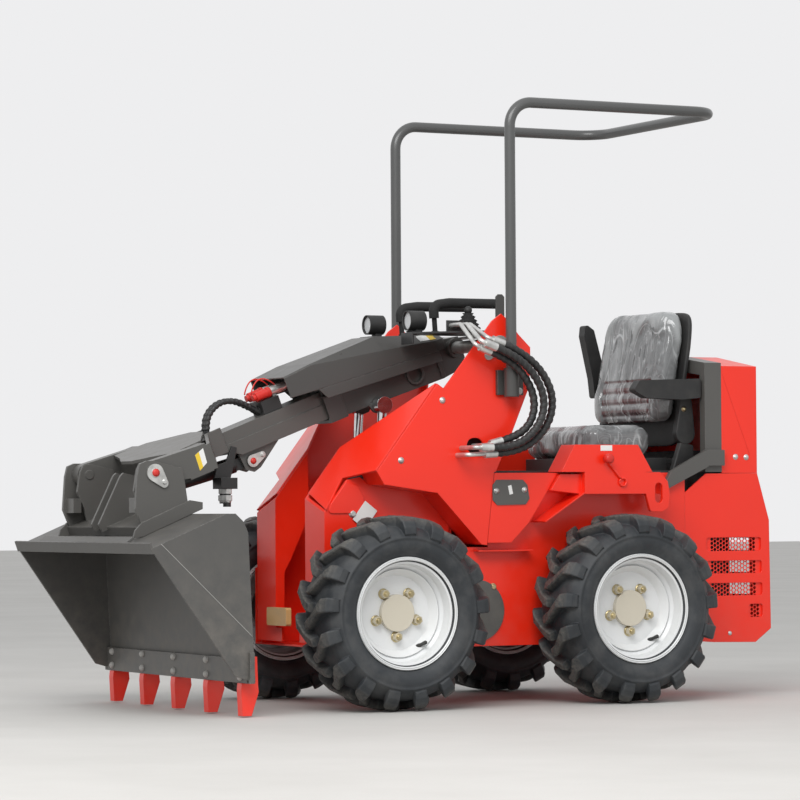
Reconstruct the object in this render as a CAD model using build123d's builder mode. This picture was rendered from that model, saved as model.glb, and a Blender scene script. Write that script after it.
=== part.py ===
from build123d import *
import os
from math import cos, hypot, pi, radians, sin, tan

os.makedirs("parts", exist_ok=True)

# A small wheeled skid steer loader with a telescopic boom, all sizes in millimetres.
# X points forward, Y to the machine's left and Z up from the ground.
# Stations are counted forward from the middle of the wheelbase, and mid_x is where
# station zero lies, so that the whole machine is centred on the origin.

# Driving sizes
wheelbase = 810
ground_clearance = 180
sheet = 6
plate = 10
running_gap = 0.4
seat_gap = 0.3
mid_x = -108

# Hull and towers
hull_half = 300
hull_rear = -700
hull_front = 110
hull_side_front = 14
hull_nose = 523
hull_nose_top = 420
deck_z = 712
tower_inner = 114
tower_reach = 50
tower_front = 543
nose_z = 195
box_inset = 60
cover_sheet = 8
tower_outer = hull_half + tower_reach
tower_box = hull_half - box_inset

# Wheels
tyre_diameter = 584
tyre_width = 216
tyre_gap = 14
bead_diameter = 306
flange_diameter = 337
flange_inset = 10
rim_wall = 5
rim_drop = 16
disc_depth = 90
disc_thickness = 8
cap_diameter = 111
cap_height = 15
hub_diameter = 124
hub_length = 24
hub_gap = 6
spindle_diameter = 56
motor_diameter = 170
nut_count = 5
nut_circle = 142
nut_width = 24
nut_height = 20
axle_z = tyre_diameter / 2
wheel_y = hull_half + tyre_gap + tyre_width / 2
disc_y = wheel_y + tyre_width / 2 - flange_inset - disc_depth
motor_length = disc_y - hull_half - hub_gap - hub_length

# Boom, in its own frame: s along the boom from the pivot, t square to it
pivot_x = -5
pivot_z = 1107
boom_slope = 21
pivot_pin = 40
pivot_boss = 62
inner_half = 47
inner_top = 33
inner_bottom = -53
inner_wall = 6
inner_rear = 42
inner_front = 911
channel_step = 3
channel_low = -6
slide_gap = 5
outer_wall = 5
outer_front = 490
collar_rear = 427
collar_wall = 5
outer_half = inner_half + slide_gap + outer_wall
outer_top = inner_top + slide_gap + outer_wall
cover_wall = 4

# Head, coupler and bucket
pin_x = 1120
pin_z = 713
head_pin = 30
ear_outer = 288
ear_plate = 12
ear_space = 49
arm_play = 1.5
arm_outer = ear_outer - ear_plate - arm_play
arm_inner = ear_outer - ear_plate - ear_space + arm_play
head_sheet = 10
lug_inner = 23
lug_plate = 10
eye_side_gap = 0.3
bucket_half = 531.5
bucket_wall = 8
edge_thickness = 22
edge_overhang = 9
tooth_count = 5
tooth_inset = 51.5
tooth_width = 32
tooth_pitch = 2 * (bucket_half - tooth_inset) / (tooth_count - 1)

# Cylinders
tilt_base_s = 776
tilt_base_t = -82
tilt_eye = (1015, 660)
tilt_barrel_size = 50
tilt_rod_size = 28
tilt_pin = 22
lift_base = (300, 330)
lift_eye = (262, 925)
lift_barrel_size = 50
lift_rod_size = 28
lift_pin = 25
lift_y = 80
lift_eye_half = 18
lift_base_half = 26

# Roll bar
rops_tube = 33
rops_wall = 4
rops_half = tower_outer + 32
rops_front = -28
rops_rear = -787
rops_top = 1868
rops_foot_z = 950
rops_front_bend = 75
rops_rear_bend = 90

# Operator's place
shelf_z = 1142
slot_half = 92
cushion_half = 225
back_half = 220
armrest_pivot = (-728, 985)


def side(y):
    """The upright plane at a given Y, drawn in stations and heights; extruding goes to the right."""
    return Plane(origin=(mid_x, y, 0), x_dir=(1, 0, 0), z_dir=(0, -1, 0))


def level(z):
    """The level plane at a given height, drawn in stations and Y; extruding goes up."""
    return Plane(origin=(mid_x, 0, z), x_dir=(1, 0, 0), z_dir=(0, 0, 1))


def across(x):
    """The cross plane at a given station, drawn in Y and height; extruding goes forward."""
    return Plane(origin=(mid_x + x, 0, 0), x_dir=(0, 1, 0), z_dir=(1, 0, 0))


def point(x, y, z):
    """A point given by its station."""
    return Vector(mid_x + x, y, z)


slope = radians(boom_slope)
boom_forward = (cos(slope), 0, -sin(slope))
boom_up = (sin(slope), 0, cos(slope))


def boom_point(s, t):
    """Station and height of a point in the boom's frame."""
    x = pivot_x + s * boom_forward[0] + t * boom_up[0]
    z = pivot_z + s * boom_forward[2] + t * boom_up[2]
    return (x, z)


def boom_side(y):
    """The upright plane at a given Y, drawn in s and t; extruding goes to the right."""
    return Plane(origin=point(pivot_x, y, pivot_z), x_dir=boom_forward, z_dir=(0, -1, 0))


def boom_level(t):
    """The plane along the boom at a given t, drawn in s and Y; extruding goes up."""
    x, z = boom_point(0, t)
    return Plane(origin=point(x, 0, z), x_dir=boom_forward, z_dir=boom_up)


def boom_across(s):
    """The plane square to the boom at a given s, drawn in Y and t; extruding goes forward."""
    x, z = boom_point(s, 0)
    return Plane(origin=point(x, 0, z), x_dir=(0, 1, 0), z_dir=boom_forward)


def slab(plane, outline, thickness, mode=Mode.ADD):
    """A flat piece of the given outline."""
    with BuildSketch(plane) as face:
        Polygon(*outline, align=None)
    extrude(face.sketch, amount=thickness, mode=mode)


def rounded_slab(plane, outline, radius, thickness, mode=Mode.ADD):
    """A flat piece whose corners are all rounded."""
    with BuildSketch(plane) as face:
        Polygon(*outline, align=None)
        fillet(face.vertices(), radius)
    extrude(face.sketch, amount=thickness, mode=mode)


def bar(plane, low, high, thickness, mode=Mode.ADD):
    """A rectangular piece between two opposite corners."""
    with BuildSketch(plane) as face:
        with Locations(((low[0] + high[0]) / 2, (low[1] + high[1]) / 2)):
            Rectangle(abs(high[0] - low[0]), abs(high[1] - low[1]))
    extrude(face.sketch, amount=thickness, mode=mode)


def disc(plane, centre, radius, thickness, mode=Mode.ADD):
    """A round piece about a centre in the plane."""
    with BuildSketch(plane) as face:
        with Locations(centre):
            Circle(radius)
    extrude(face.sketch, amount=thickness, mode=mode)


def teardrop(plane, head, head_radius, tail, tail_radius, thickness):
    """A flat piece round a pin with a narrower round tail for its bolt."""
    with BuildSketch(plane) as face:
        with Locations(head):
            Circle(head_radius)
        with Locations(tail):
            Circle(tail_radius)
        make_hull()
    extrude(face.sketch, amount=thickness)


def both_sides(outer, thickness):
    """Where a plate of the given outer face starts on the left and on the right."""
    return (outer, thickness - outer)


def shifted_line(a, b, distance):
    """The line from a to b, shifted square to itself, to the left as one looks along it."""
    run = hypot(b[0] - a[0], b[1] - a[1])
    nx = -(b[1] - a[1]) / run * distance
    nz = (b[0] - a[0]) / run * distance
    return (a[0] + nx, a[1] + nz), (b[0] + nx, b[1] + nz)


def folded(path, thickness):
    """The section of a folded sheet: a path of points, thickened to the left as one walks it."""
    turns = []
    for a, b in zip(path, path[1:]):
        run = hypot(b[0] - a[0], b[1] - a[1])
        turns.append((-(b[1] - a[1]) / run, (b[0] - a[0]) / run))
    shifted = []
    for here, before, after in zip(path, [turns[0]] + turns, turns + [turns[-1]]):
        share = 1 + before[0] * after[0] + before[1] * after[1]
        nx = (before[0] + after[0]) / share
        nz = (before[1] + after[1]) / share
        shifted.append((here[0] + nx * thickness, here[1] + nz * thickness))
    return list(path) + shifted[::-1]


# Wheels: name, station, side of the machine
wheels = [
    ("front_left", wheelbase / 2, 1),
    ("front_right", wheelbase / 2, -1),
    ("rear_left", -wheelbase / 2, 1),
    ("rear_right", -wheelbase / 2, -1),
]
tread_radius = tyre_diameter / 2
tyre_half = tyre_width / 2
flange_radius = flange_diameter / 2
bead_radius = bead_diameter / 2
flange_half = tyre_half - flange_inset
drop_radius = bead_radius - rim_drop

# The tyre is faceted: it is cut into equal sectors, and each sector has a lug on one side
lugs_per_side = 17
sectors = 2 * lugs_per_side
facet_share = cos(pi / sectors)

# Rows of the tread, from where the lugs of both sides meet out to the shoulder: distance
# from the tyre's middle plane, radius between lugs, radius on top of a lug, backward slant
tread_rows = [
    (10, tread_radius - 28, tread_radius, 0),
    (tyre_half - 42, tread_radius - 33, tread_radius - 1, 44),
    (tyre_half - 10, tread_radius - 52, tread_radius - 20, 58),
    (tyre_half, tread_radius - 64, tread_radius - 50, 60),
]
# Rows of the sidewall down to the bead: distance from the middle plane, radius
wall_rows = [
    (tyre_half, tread_radius - 90),
    (flange_half - 8 - seat_gap, (flange_radius + 1) / facet_share),
    (flange_half - 13 - seat_gap, (bead_radius + seat_gap) / facet_share),
]
# Half of the rim's section, from the rolled flange to the drop centre
rim_outline = [
    (flange_half - 3, flange_radius - 6),
    (flange_half, flange_radius - 2),
    (flange_half - 3, flange_radius),
    (flange_half - 8, flange_radius),
    (flange_half - 13, bead_radius),
    (48, bead_radius - 3),
    (34, drop_radius),
]



def tyre_corner(edge, y, radius, slant):
    """A corner of the faceted tyre, about its own middle, at one edge between two sectors."""
    turn = 2 * pi * edge / sectors - pi / 2 + slant / tread_radius
    return Vector(radius * cos(turn), y, radius * sin(turn))


def two_triangles(*corners):
    """The two halves of a four-cornered face that need not be flat."""
    a, b, c, d = [tyre_corner(*corner) for corner in corners]
    return [Face(Wire.make_polygon([a, b, c])), Face(Wire.make_polygon([a, c, d]))]


def between_rows(edges, near, far):
    """The face between two rows, each given as distance, radius and slant, over one sector."""
    return two_triangles((edges[0], *near), (edges[1], *near), (edges[1], *far), (edges[0], *far))


def step_at(row, edges, y):
    """The wall at the end of a lug, square to the tyre's middle plane."""
    _, between, on_top, slant = row
    return two_triangles(
        (edges[0], y, between, slant), (edges[0], y, on_top, slant),
        (edges[1], y, on_top, slant), (edges[1], y, between, slant),
    )


def lug_wall(edge, hand, near, far):
    """The side of a lug between two rows of the tread, at one edge of its sector."""
    return two_triangles(
        (edge, hand * near[0], near[1], near[3]), (edge, hand * near[0], near[2], near[3]),
        (edge, hand * far[0], far[2], far[3]), (edge, hand * far[0], far[1], far[3]),
    )


def sector_faces(sector):
    """All faces of one sector. The lug is on the left in even sectors and else on the right."""
    edges = (sector, sector + 1)
    meet_y, _, meet_top, _ = tread_rows[0]
    bead_y, bead = wall_rows[-1]
    shoulder_slant = tread_rows[-1][3]
    faces = between_rows(edges, (meet_y, meet_top, 0), (-meet_y, meet_top, 0))
    faces += between_rows(edges, (bead_y, bead, shoulder_slant), (-bead_y, bead, shoulder_slant))
    for hand in (1, -1):
        has_lug = (hand == 1) == (sector % 2 == 0)
        height = 2 if has_lug else 1
        for near, far in zip(tread_rows, tread_rows[1:]):
            faces += between_rows(
                edges, (hand * near[0], near[height], near[3]), (hand * far[0], far[height], far[3]),
            )
            if has_lug:
                faces += lug_wall(edges[0], hand, near, far) + lug_wall(edges[1], hand, near, far)
        end = tread_rows[-1] if has_lug else tread_rows[0]
        faces += step_at(end, edges, hand * end[0])
        walls = [(tyre_half, tread_rows[-1][1])] + wall_rows
        for near, far in zip(walls, walls[1:]):
            faces += between_rows(
                edges, (hand * near[0], near[1], shoulder_slant), (hand * far[0], far[1], shoulder_slant),
            )
    return faces


tyre_solid = Solid(Shell([face for sector in range(sectors) for face in sector_faces(sector)]))

for where, station, hand in wheels:
    hub_point = point(station, hand * wheel_y, axle_z)
    section_plane = Plane(origin=hub_point, x_dir=(0, hand, 0), z_dir=(hand, 0, 0))
    wheel_axis = Axis(hub_point, (0, 1, 0))
    with BuildPart() as tyre:
        add(tyre_solid.moved(Location(hub_point)))
    tyre.part.label = f"tyre_{where}"
    export_step(tyre.part, f"parts/tyre_{where}.step")

    rim_side = rim_outline + [(-y, r) for y, r in reversed(rim_outline)]
    rim_back = [(y, r - rim_wall) for y, r in reversed(rim_side)]
    disc_plane = Plane(
        origin=point(station, hand * disc_y, axle_z), x_dir=(1, 0, 0), z_dir=(0, hand, 0)
    )
    with BuildPart() as wheel:
        with BuildSketch(section_plane):
            Polygon(*(rim_side + rim_back), align=None)
        revolve(axis=wheel_axis)
        disc(disc_plane, (0, 0), drop_radius - rim_wall / 2, disc_thickness)
        # Dished shoulder between the disc and the rim
        with BuildSketch(section_plane):
            with Locations((disc_y - wheel_y, 0)):
                Polygon(
                    (disc_thickness, drop_radius - rim_wall),
                    (disc_thickness + 26, drop_radius - rim_wall),
                    (disc_thickness, drop_radius - rim_wall - 20),
                    align=None,
                )
        revolve(axis=wheel_axis)
        disc(disc_plane.offset(-hub_length), (0, 0), hub_diameter / 2, hub_length)
        disc(
            disc_plane.offset(-hub_length),
            (0, 0),
            spindle_diameter / 2 + running_gap,
            hub_length + disc_thickness,
            Mode.SUBTRACT,
        )
        disc(disc_plane.offset(disc_thickness), (0, 0), cap_diameter / 2, cap_height)
        with BuildSketch(disc_plane.offset(disc_thickness)) as nuts:
            with PolarLocations(nut_circle / 2, nut_count, start_angle=18):
                RegularPolygon(nut_width / 2, 6, major_radius=False)
        extrude(nuts.sketch, amount=nut_height)
    wheel.part.label = f"wheel_{where}"
    export_step(wheel.part, f"parts/wheel_{where}.step")

# Wheel motors with their spindles, bolted to the sides of the hull
with BuildPart() as wheel_motors:
    for where, station, hand in wheels:
        motor_plane = Plane(
            origin=point(station, hand * (hull_half + seat_gap), axle_z),
            x_dir=(1, 0, 0),
            z_dir=(0, hand, 0),
        )
        spindle_length = disc_y + disc_thickness - running_gap - hull_half - seat_gap
        disc(motor_plane, (0, 0), motor_diameter / 2, motor_length)
        disc(motor_plane, (0, 0), spindle_diameter / 2, spindle_length)
wheel_motors.part.label = "wheel_motors"
export_step(wheel_motors.part, "parts/wheel_motors.step")

# Hull: a tub of sheet with floor, sides and cross walls
hull_side_outline = [
    (hull_rear, ground_clearance),
    (hull_nose, ground_clearance),
    (hull_nose, hull_nose_top),
    (hull_front, 484),
    (hull_side_front, 484),
    (hull_side_front, deck_z),
    (hull_rear, deck_z),
]
base_bracket = [
    (hull_front, ground_clearance), (380, ground_clearance), (335, 360), (lift_base[0], 370),
    (262, 355), (hull_front, 300),
]
bracket_half = lift_base_half + seat_gap + plate
with BuildPart() as hull:
    for y in both_sides(hull_half, sheet):
        slab(side(y), hull_side_outline, sheet)
    bar(level(ground_clearance), (hull_rear, -hull_half), (hull_nose, hull_half), sheet)
    bar(across(hull_rear), (-hull_half, ground_clearance), (hull_half, deck_z), sheet)
    bar(across(hull_front - sheet), (-hull_half, ground_clearance), (hull_half, 480), sheet)
    bar(across(hull_front - sheet), (8 - tower_box, 400), (tower_box - 8, deck_z), sheet)
    # Ledge along each side, under the side boxes
    for y in both_sides(hull_half + 34, 36):
        bar(side(y), (-128, 470), (hull_side_front + 50, 475), 36)
    for middle in (lift_y, -lift_y):
        slab(side(middle + bracket_half), base_bracket, plate)
        slab(side(middle - bracket_half + plate), base_bracket, plate)
        disc(side(middle + bracket_half + 6), lift_base, lift_pin / 2, 2 * bracket_half + 12)
hull.part.label = "hull"
export_step(hull.part, "parts/hull.step")

# Towers: one each side of the boom, boxed in sheet under a slanted cover
cover_corners = [
    (536, tower_inner, 653),
    (540, tower_box + 6, 601),
    (474, tower_box - 18, 697),
    (425, tower_outer, 719),
    (219, tower_outer, 984),
    (430, tower_inner, 794),
]
outer_plate = [
    (423, 720), (395, 676), (214, 650), (62, 492), (43, 490), (17, 716), (-42, 839),
    (-98, 968), (-113, 1069), (-113, 1098), (-71, 1138), (-34, 1182), (-11, 1200),
    (21, 1177), (57, 1131), (77, 1108), (190, 968), (216, 985),
]
inner_plate = [
    (tower_front, nose_z), (tower_front, 640), (536, 653), (430, 794), (426, 582), (491, 445),
    (512, 408), (513, 200),
]
box_floor = ground_clearance + sheet + seat_gap
box_plate = [
    (tower_front, nose_z), (541, 599), (474, 690), (423, 700), (395, 680), (214, 654),
    (117, 556), (117, box_floor), (tower_front - 13, box_floor), (tower_front - 13, nose_z),
]
# Rounded doubler on the box, behind the cover's corner
doubler = [(410, 590), (410, 640), (432, 676), (470, 684), (515, 640), (533, 590)]
first = point(*cover_corners[0])
along = point(*cover_corners[4]) - first
over = point(*cover_corners[3]) - first
cover_plane = Plane(origin=first, x_dir=along, z_dir=over.cross(along))
cover_outline = []
for corner in cover_corners:
    local = cover_plane.to_local_coords(point(*corner))
    cover_outline.append((local.X, local.Y))
hose_hole = (83, 794)
with BuildPart() as towers:
    slab(side(tower_inner), inner_plate, cover_sheet)
    slab(side(tower_box), box_plate, sheet)
    rounded_slab(side(tower_box + 4), doubler, 10, 4)
    slab(side(tower_outer), outer_plate, sheet)
    slab(
        across(tower_front - sheet),
        [(tower_inner, nose_z), (tower_box, nose_z), (tower_box, 601), (tower_inner, 650)],
        sheet,
    )
    # Foot of the box, turned in towards the boom
    bar(across(tower_front - sheet), (tower_inner - 52, nose_z), (tower_inner + 2, nose_z + 42), sheet)
    # Flange from the outer plate's low edge in to the box
    slab(side(tower_outer), folded(outer_plate[0:4], -sheet), tower_outer - tower_box + 2)
    # Turned edge along the outer plate's rear
    slab(side(tower_outer), folded(outer_plate[5:9], sheet), 34)
    # Boss for the boom's pivot shaft
    disc(side(tower_outer), (pivot_x, pivot_z), pivot_boss / 2, 26)
    disc(side(tower_outer), (pivot_x, pivot_z), pivot_pin / 2 + seat_gap, 26, Mode.SUBTRACT)
    with BuildSketch(side(tower_outer + 1)):
        with Locations(hose_hole):
            SlotOverall(57, 48)
    extrude(amount=sheet + 2, mode=Mode.SUBTRACT)
    bar(cover_plane.offset(-sheet - seat_gap), (-400, -500), (900, 500), 300, Mode.SUBTRACT)
    mirror(about=Plane.XZ)
towers.part.label = "towers"
export_step(towers.part, "parts/towers.step")

with BuildPart() as tower_covers:
    slab(cover_plane.offset(-sheet), cover_outline, sheet)
    mirror(about=Plane.XZ)
tower_covers.part.label = "tower_covers"
export_step(tower_covers.part, "parts/tower_covers.step")

# Pivot shaft with a bolted keeper plate on each end
keeper = 6
keeper_radius = 26
with BuildPart() as pivot_shaft:
    disc(
        side(tower_outer + 2),
        (pivot_x, pivot_z),
        pivot_pin / 2,
        2 * (tower_outer + 2),
    )
    for y in both_sides(tower_outer + seat_gap + keeper, keeper):
        teardrop(side(y), (pivot_x, pivot_z), keeper_radius, (36, 1070), 13, keeper)
pivot_shaft.part.label = "pivot_shaft"
export_step(pivot_shaft.part, "parts/pivot_shaft.step")

# Side boxes behind the towers, over the chain cases
side_box = [(15.5, 711), (-209, 711), (-104, 557), (-42, 497), (41, 497)]
with BuildPart() as side_boxes:
    slab(side(tower_outer), side_box, tower_reach - seat_gap)
    mirror(about=Plane.XZ)
side_boxes.part.label = "side_boxes"
export_step(side_boxes.part, "parts/side_boxes.step")

# Dark access plates on the side boxes and round covers on the chain cases
access_plate = [
    (10, 690), (-82, 690), (-98, 674), (-105, 632), (-92, 614), (8, 612), (24, 628), (24, 674),
]
chain_cover_at = (55, 289)
chain_cover_radius = 95
with BuildPart() as access_plates:
    slab(side(tower_outer + seat_gap + 3), access_plate, 3)
    disc(side(hull_half + seat_gap + 5), chain_cover_at, chain_cover_radius, 5)
    mirror(about=Plane.XZ)
access_plates.part.label = "access_plates"
export_step(access_plates.part, "parts/access_plates.step")

# Fenders over the rear wheels, folded from sheet
fender_width = 85
fender_outer = hull_half + fender_width
fender_upper = [(-200, 713), (-250, 798), (-477, 798), (-529, 713)]
fender_front = [(-174, 657), (-208, 707), (-292, 707), (-284, 645)]
fender_lower = [(-284, 645), (-284, 713), (-505, 713), (-505, 645)]
fender_rear = [(-505, 645), (-505, 713), (-574, 713), (-574, 645)]
mudguard = [(-505, 645), (-284, 645), (-145, 558)]
tie_down = [
    (-498, 713), (-560, 708), (-585, 684), (-593, 640), (-588, 602), (-563, 588), (-521, 590),
    (-505, 645),
]
tie_slot = (-552, 648)
with BuildPart() as fenders:
    slab(side(fender_outer), fender_upper, fender_width - seat_gap)
    slab(side(fender_outer), fender_lower, fender_width - seat_gap)
    slab(side(fender_outer - 20), fender_front, fender_width - 20 - seat_gap)
    slab(side(fender_outer - 26), fender_rear, fender_width - 26 - seat_gap)
    slab(side(fender_outer - 2), folded(mudguard, 5), fender_width - 2 - seat_gap)
    rounded_slab(side(fender_outer), tie_down, 8, 12)
    with BuildSketch(side(fender_outer + 1)):
        with Locations(tie_slot):
            SlotOverall(63, 27, rotation=90)
    extrude(amount=14, mode=Mode.SUBTRACT)
    mirror(about=Plane.XZ)
fenders.part.label = "fenders"
export_step(fenders.part, "parts/fenders.step")

with BuildPart() as deck:
    bar(level(deck_z + seat_gap), (hull_rear, -hull_half), (hull_front, hull_half), sheet)
deck.part.label = "deck"
export_step(deck.part, "parts/deck.step")

tail_floor = 178
engine_low = (-950, -170)
engine_high = (-790, 170)
with BuildPart() as engine_block:
    bar(level(tail_floor + sheet + seat_gap), engine_low, engine_high, 600)
engine_block.part.label = "engine_block"
export_step(engine_block.part, "parts/engine_block.step")

# Rear panels either side of the engine bay, and the wall across the tail
tail_x = -1021
rear_panel = [
    (hull_rear, 648), (-780, 709), (-973, 710), (-1017, 560), (tail_x, 213), (-962, 170),
    (-805, 173), (hull_rear, 180),
]
# Vent rows: lower edge, height, front end, rear end
vent_rows = [
    (462, 43, -780, -986),
    (391, 40, -780, -988),
    (320, 40, -780, -990),
    (250, 42, -938, -990),
]
tail_vents = [462, 391, 320]
tail_vent_half = 190
wall_half = hull_half - sheet + 1
with BuildPart() as rear_panels:
    slab(side(hull_half), rear_panel, sheet)
    for low, height, front, rear in vent_rows:
        with BuildSketch(side(hull_half + 1)) as window:
            with Locations(((front + rear) / 2, low + height / 2)):
                RectangleRounded(front - rear, height, 8)
        extrude(window.sketch, amount=sheet + 2, mode=Mode.SUBTRACT)
    mirror(about=Plane.XZ)
    slab(
        side(wall_half),
        [(-1017, 560), (tail_x, 213), (tail_x + sheet, 213), (sheet - 1017, 560)],
        2 * wall_half,
    )
    slab(side(wall_half), folded([(-973, 709), (-1017, 560)], sheet), 2 * wall_half)
    bar(level(tail_floor), (-962, -wall_half), (hull_rear - seat_gap, wall_half), sheet)
    for low in tail_vents:
        with BuildSketch(across(tail_x - 10)) as window:
            with Locations((0, low + 20)):
                RectangleRounded(2 * tail_vent_half, 40, 8)
        extrude(window.sketch, amount=30, mode=Mode.SUBTRACT)
rear_panels.part.label = "rear_panels"
export_step(rear_panels.part, "parts/rear_panels.step")

# Perforated strips behind the vent rows
hole_pitch = 13
hole_across = 10
strip = 1.5
with BuildPart() as grilles:
    for low, height, front, rear in vent_rows:
        middle = ((front + rear) / 2, low + height / 2)
        bar(side(hull_half - sheet - seat_gap), (rear - 4, low - 4), (front + 4, low + height + 4), strip)
        columns = int((front - rear - 6) / hole_pitch)
        with BuildSketch(side(hull_half - sheet - seat_gap + 1)) as holes:
            with Locations(middle):
                with HexLocations(hole_pitch / 2, columns, 4):
                    RegularPolygon(hole_across / 2, 6, major_radius=False)
        extrude(holes.sketch, amount=strip + 2, mode=Mode.SUBTRACT)
    mirror(about=Plane.XZ)
grilles.part.label = "grilles"
export_step(grilles.part, "parts/grilles.step")

# Hood behind the operator, with chamfered shoulders
hood_front = -840
hood_shell = [(hood_front, 710.3), (hood_front, 1088), (-940, 1088), (-973, 1052), (-973, 710.3)]
hood_section = [
    (-hull_half, 700), (-hull_half, 1052), (-115, 1089), (115, 1089), (hull_half, 1052),
    (hull_half, 700),
]
with BuildPart() as hood:
    slab(side(hull_half), hood_shell, 2 * hull_half)
    slab(across(-990), hood_section, 170, Mode.INTERSECT)
    bar(level(700), (hood_front + sheet, 8 - hull_half), (sheet - 973, hull_half - 8), 345, Mode.SUBTRACT)
hood.part.label = "hood"
export_step(hood.part, "parts/hood.step")

# Guard frame between the operator and the engine: posts, top bar and slanted legs
guard_rear = hood_front + seat_gap
guard_front = -778
guard_foot = deck_z + 2
leg = [(-778, 786), (-640, 716), (-608, 663), (-632, 663), (-778, 730)]
guard_side = 30
leg_depth = 18
with BuildPart() as guard_frame:
    for y in both_sides(hull_half, guard_side):
        bar(side(y), (guard_rear, guard_foot), (guard_front, 1062), guard_side)
    for y in both_sides(hull_half + seat_gap + leg_depth, leg_depth):
        slab(side(y), leg, leg_depth)
    for y in both_sides(hull_half + seat_gap + leg_depth, leg_depth + sheet):
        bar(side(y), (guard_rear, 734), (guard_front + 2, 784), leg_depth + sheet)
    slab(
        across(guard_rear),
        [
            (-hull_half, 1020), (-hull_half, 1062), (-115, 1088), (115, 1088), (hull_half, 1062),
            (hull_half, 1020), (100, 1046), (-100, 1046),
        ],
        guard_front - guard_rear,
    )
guard_frame.part.label = "guard_frame"
export_step(guard_frame.part, "parts/guard_frame.step")

# Operator's place: seat pan, sprung base, soft cushions, moulded back shell and armrests
pan_z = deck_z + seat_gap + sheet + seat_gap
pan_height = 42
cushion_low = pan_z + pan_height + seat_gap
cushion_height = 97
cushion_front = -385
cushion_rear = -655
back_low = 868
back_front = [(-662, back_low), (-668, 960), (-700, 1120), (-712, 1232)]
back_depth = 62
shell_gap = seat_gap
shell_thickness = 12
with BuildPart() as seat_base:
    bar(level(pan_z), (-700, -190), (-400, 190), pan_height)
    bar(level(pan_z), (-776, -150), (-700, 150), 24)
seat_base.part.label = "seat_base"
export_step(seat_base.part, "parts/seat_base.step")

with BuildPart() as seat_cushion:
    bar(level(cushion_low), (cushion_rear, -cushion_half), (cushion_front, cushion_half), cushion_height)
    fillet(seat_cushion.edges().filter_by(Axis.Z), 40)
    fillet(seat_cushion.faces().sort_by(Axis.Z)[-1].edges(), 22)
seat_cushion.part.label = "seat_cushion"
export_step(seat_cushion.part, "parts/seat_cushion.step")

back_rear = [(x - back_depth, z) for x, z in back_front]
with BuildPart() as seat_back:
    slab(side(back_half), back_front + back_rear[::-1], 2 * back_half)
    fillet(seat_back.edges().filter_by(Axis.X).group_by(Axis.Z)[-1], 60)
seat_back.part.label = "seat_back"
export_step(seat_back.part, "parts/seat_back.step")

# Moulded shell behind the back cushion, down to the pan, with round recliner covers
recliner = (-740, 838)
recliner_radius = 36
recliner_depth = 26
shell_half = back_half + 2
cover_outer = back_half + seat_gap + recliner_depth
shell_line = [(back_rear[0][0] - shell_gap, 800), (back_rear[0][0] - shell_gap, back_low)]
shell_line += [(x - shell_gap, z) for x, z in back_rear[1:3]] + [(back_rear[3][0] - shell_gap, 1215)]
with BuildPart() as seat_shell:
    slab(side(shell_half), folded(shell_line, shell_thickness), 2 * shell_half)
    for y in both_sides(cover_outer, recliner_depth):
        teardrop(side(y), recliner, recliner_radius, (-745, 960), 18, recliner_depth)
        slab(
            side(y),
            [(-690, pan_z + seat_gap), (-776, pan_z + seat_gap), (-772, 838), (-730, 812)],
            recliner_depth,
        )
    bar(level(pan_z + 24 + seat_gap), (-776, -shell_half - 2), (-738, shell_half + 2), 16)
seat_shell.part.label = "seat_shell"
export_step(seat_shell.part, "parts/seat_shell.step")

# Armrests on pins beside the back: the left one down, the right one folded up
armrest_width = 36
armrest_side = cover_outer + 6
armrest_outline = [(-522, 972), (-545, 1004), (-772, 1012), (-772, 950), (-700, 944), (-570, 948)]
armrest_folded = [
    (-665, 1212), (-698, 1190), (-757, 980), (-700, 962), (-692, 1030), (-660, 1170),
]
arm_pin = 12
arm_pin_length = armrest_side - cover_outer - seat_gap
with BuildPart() as armrest_left:
    rounded_slab(side(armrest_side + armrest_width), armrest_outline, 9, armrest_width)
    disc(side(armrest_side), armrest_pivot, arm_pin, arm_pin_length)
armrest_left.part.label = "armrest_left"
export_step(armrest_left.part, "parts/armrest_left.step")
with BuildPart() as armrest_right:
    rounded_slab(side(-armrest_side), armrest_folded, 9, armrest_width)
    disc(side(arm_pin_length - armrest_side), armrest_pivot, arm_pin, arm_pin_length)
armrest_right.part.label = "armrest_right"
export_step(armrest_right.part, "parts/armrest_right.step")

# Roll bar of bent tube, in sockets bolted to the towers
rail_z = rops_top - rops_tube / 2
rops_points = [
    (rops_front, rops_half, rops_foot_z),
    (rops_front, rops_half, rail_z),
    (rops_rear, rops_half, rail_z),
    (rops_rear, -rops_half, rail_z),
    (rops_front, -rops_half, rail_z),
    (rops_front, -rops_half, rops_foot_z),
]
rops_radii = [rops_front_bend, rops_rear_bend, rops_rear_bend, rops_front_bend]
with BuildPart() as rops_frame:
    with BuildLine():
        FilletPolyline(*[point(*corner) for corner in rops_points], radius=rops_radii)
    with BuildSketch(level(rops_foot_z)):
        with Locations((rops_front, rops_half)):
            Circle(rops_tube / 2)
            Circle(rops_tube / 2 - rops_wall, mode=Mode.SUBTRACT)
    sweep()
rops_frame.part.label = "rops_frame"
export_step(rops_frame.part, "parts/rops_frame.step")

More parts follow.
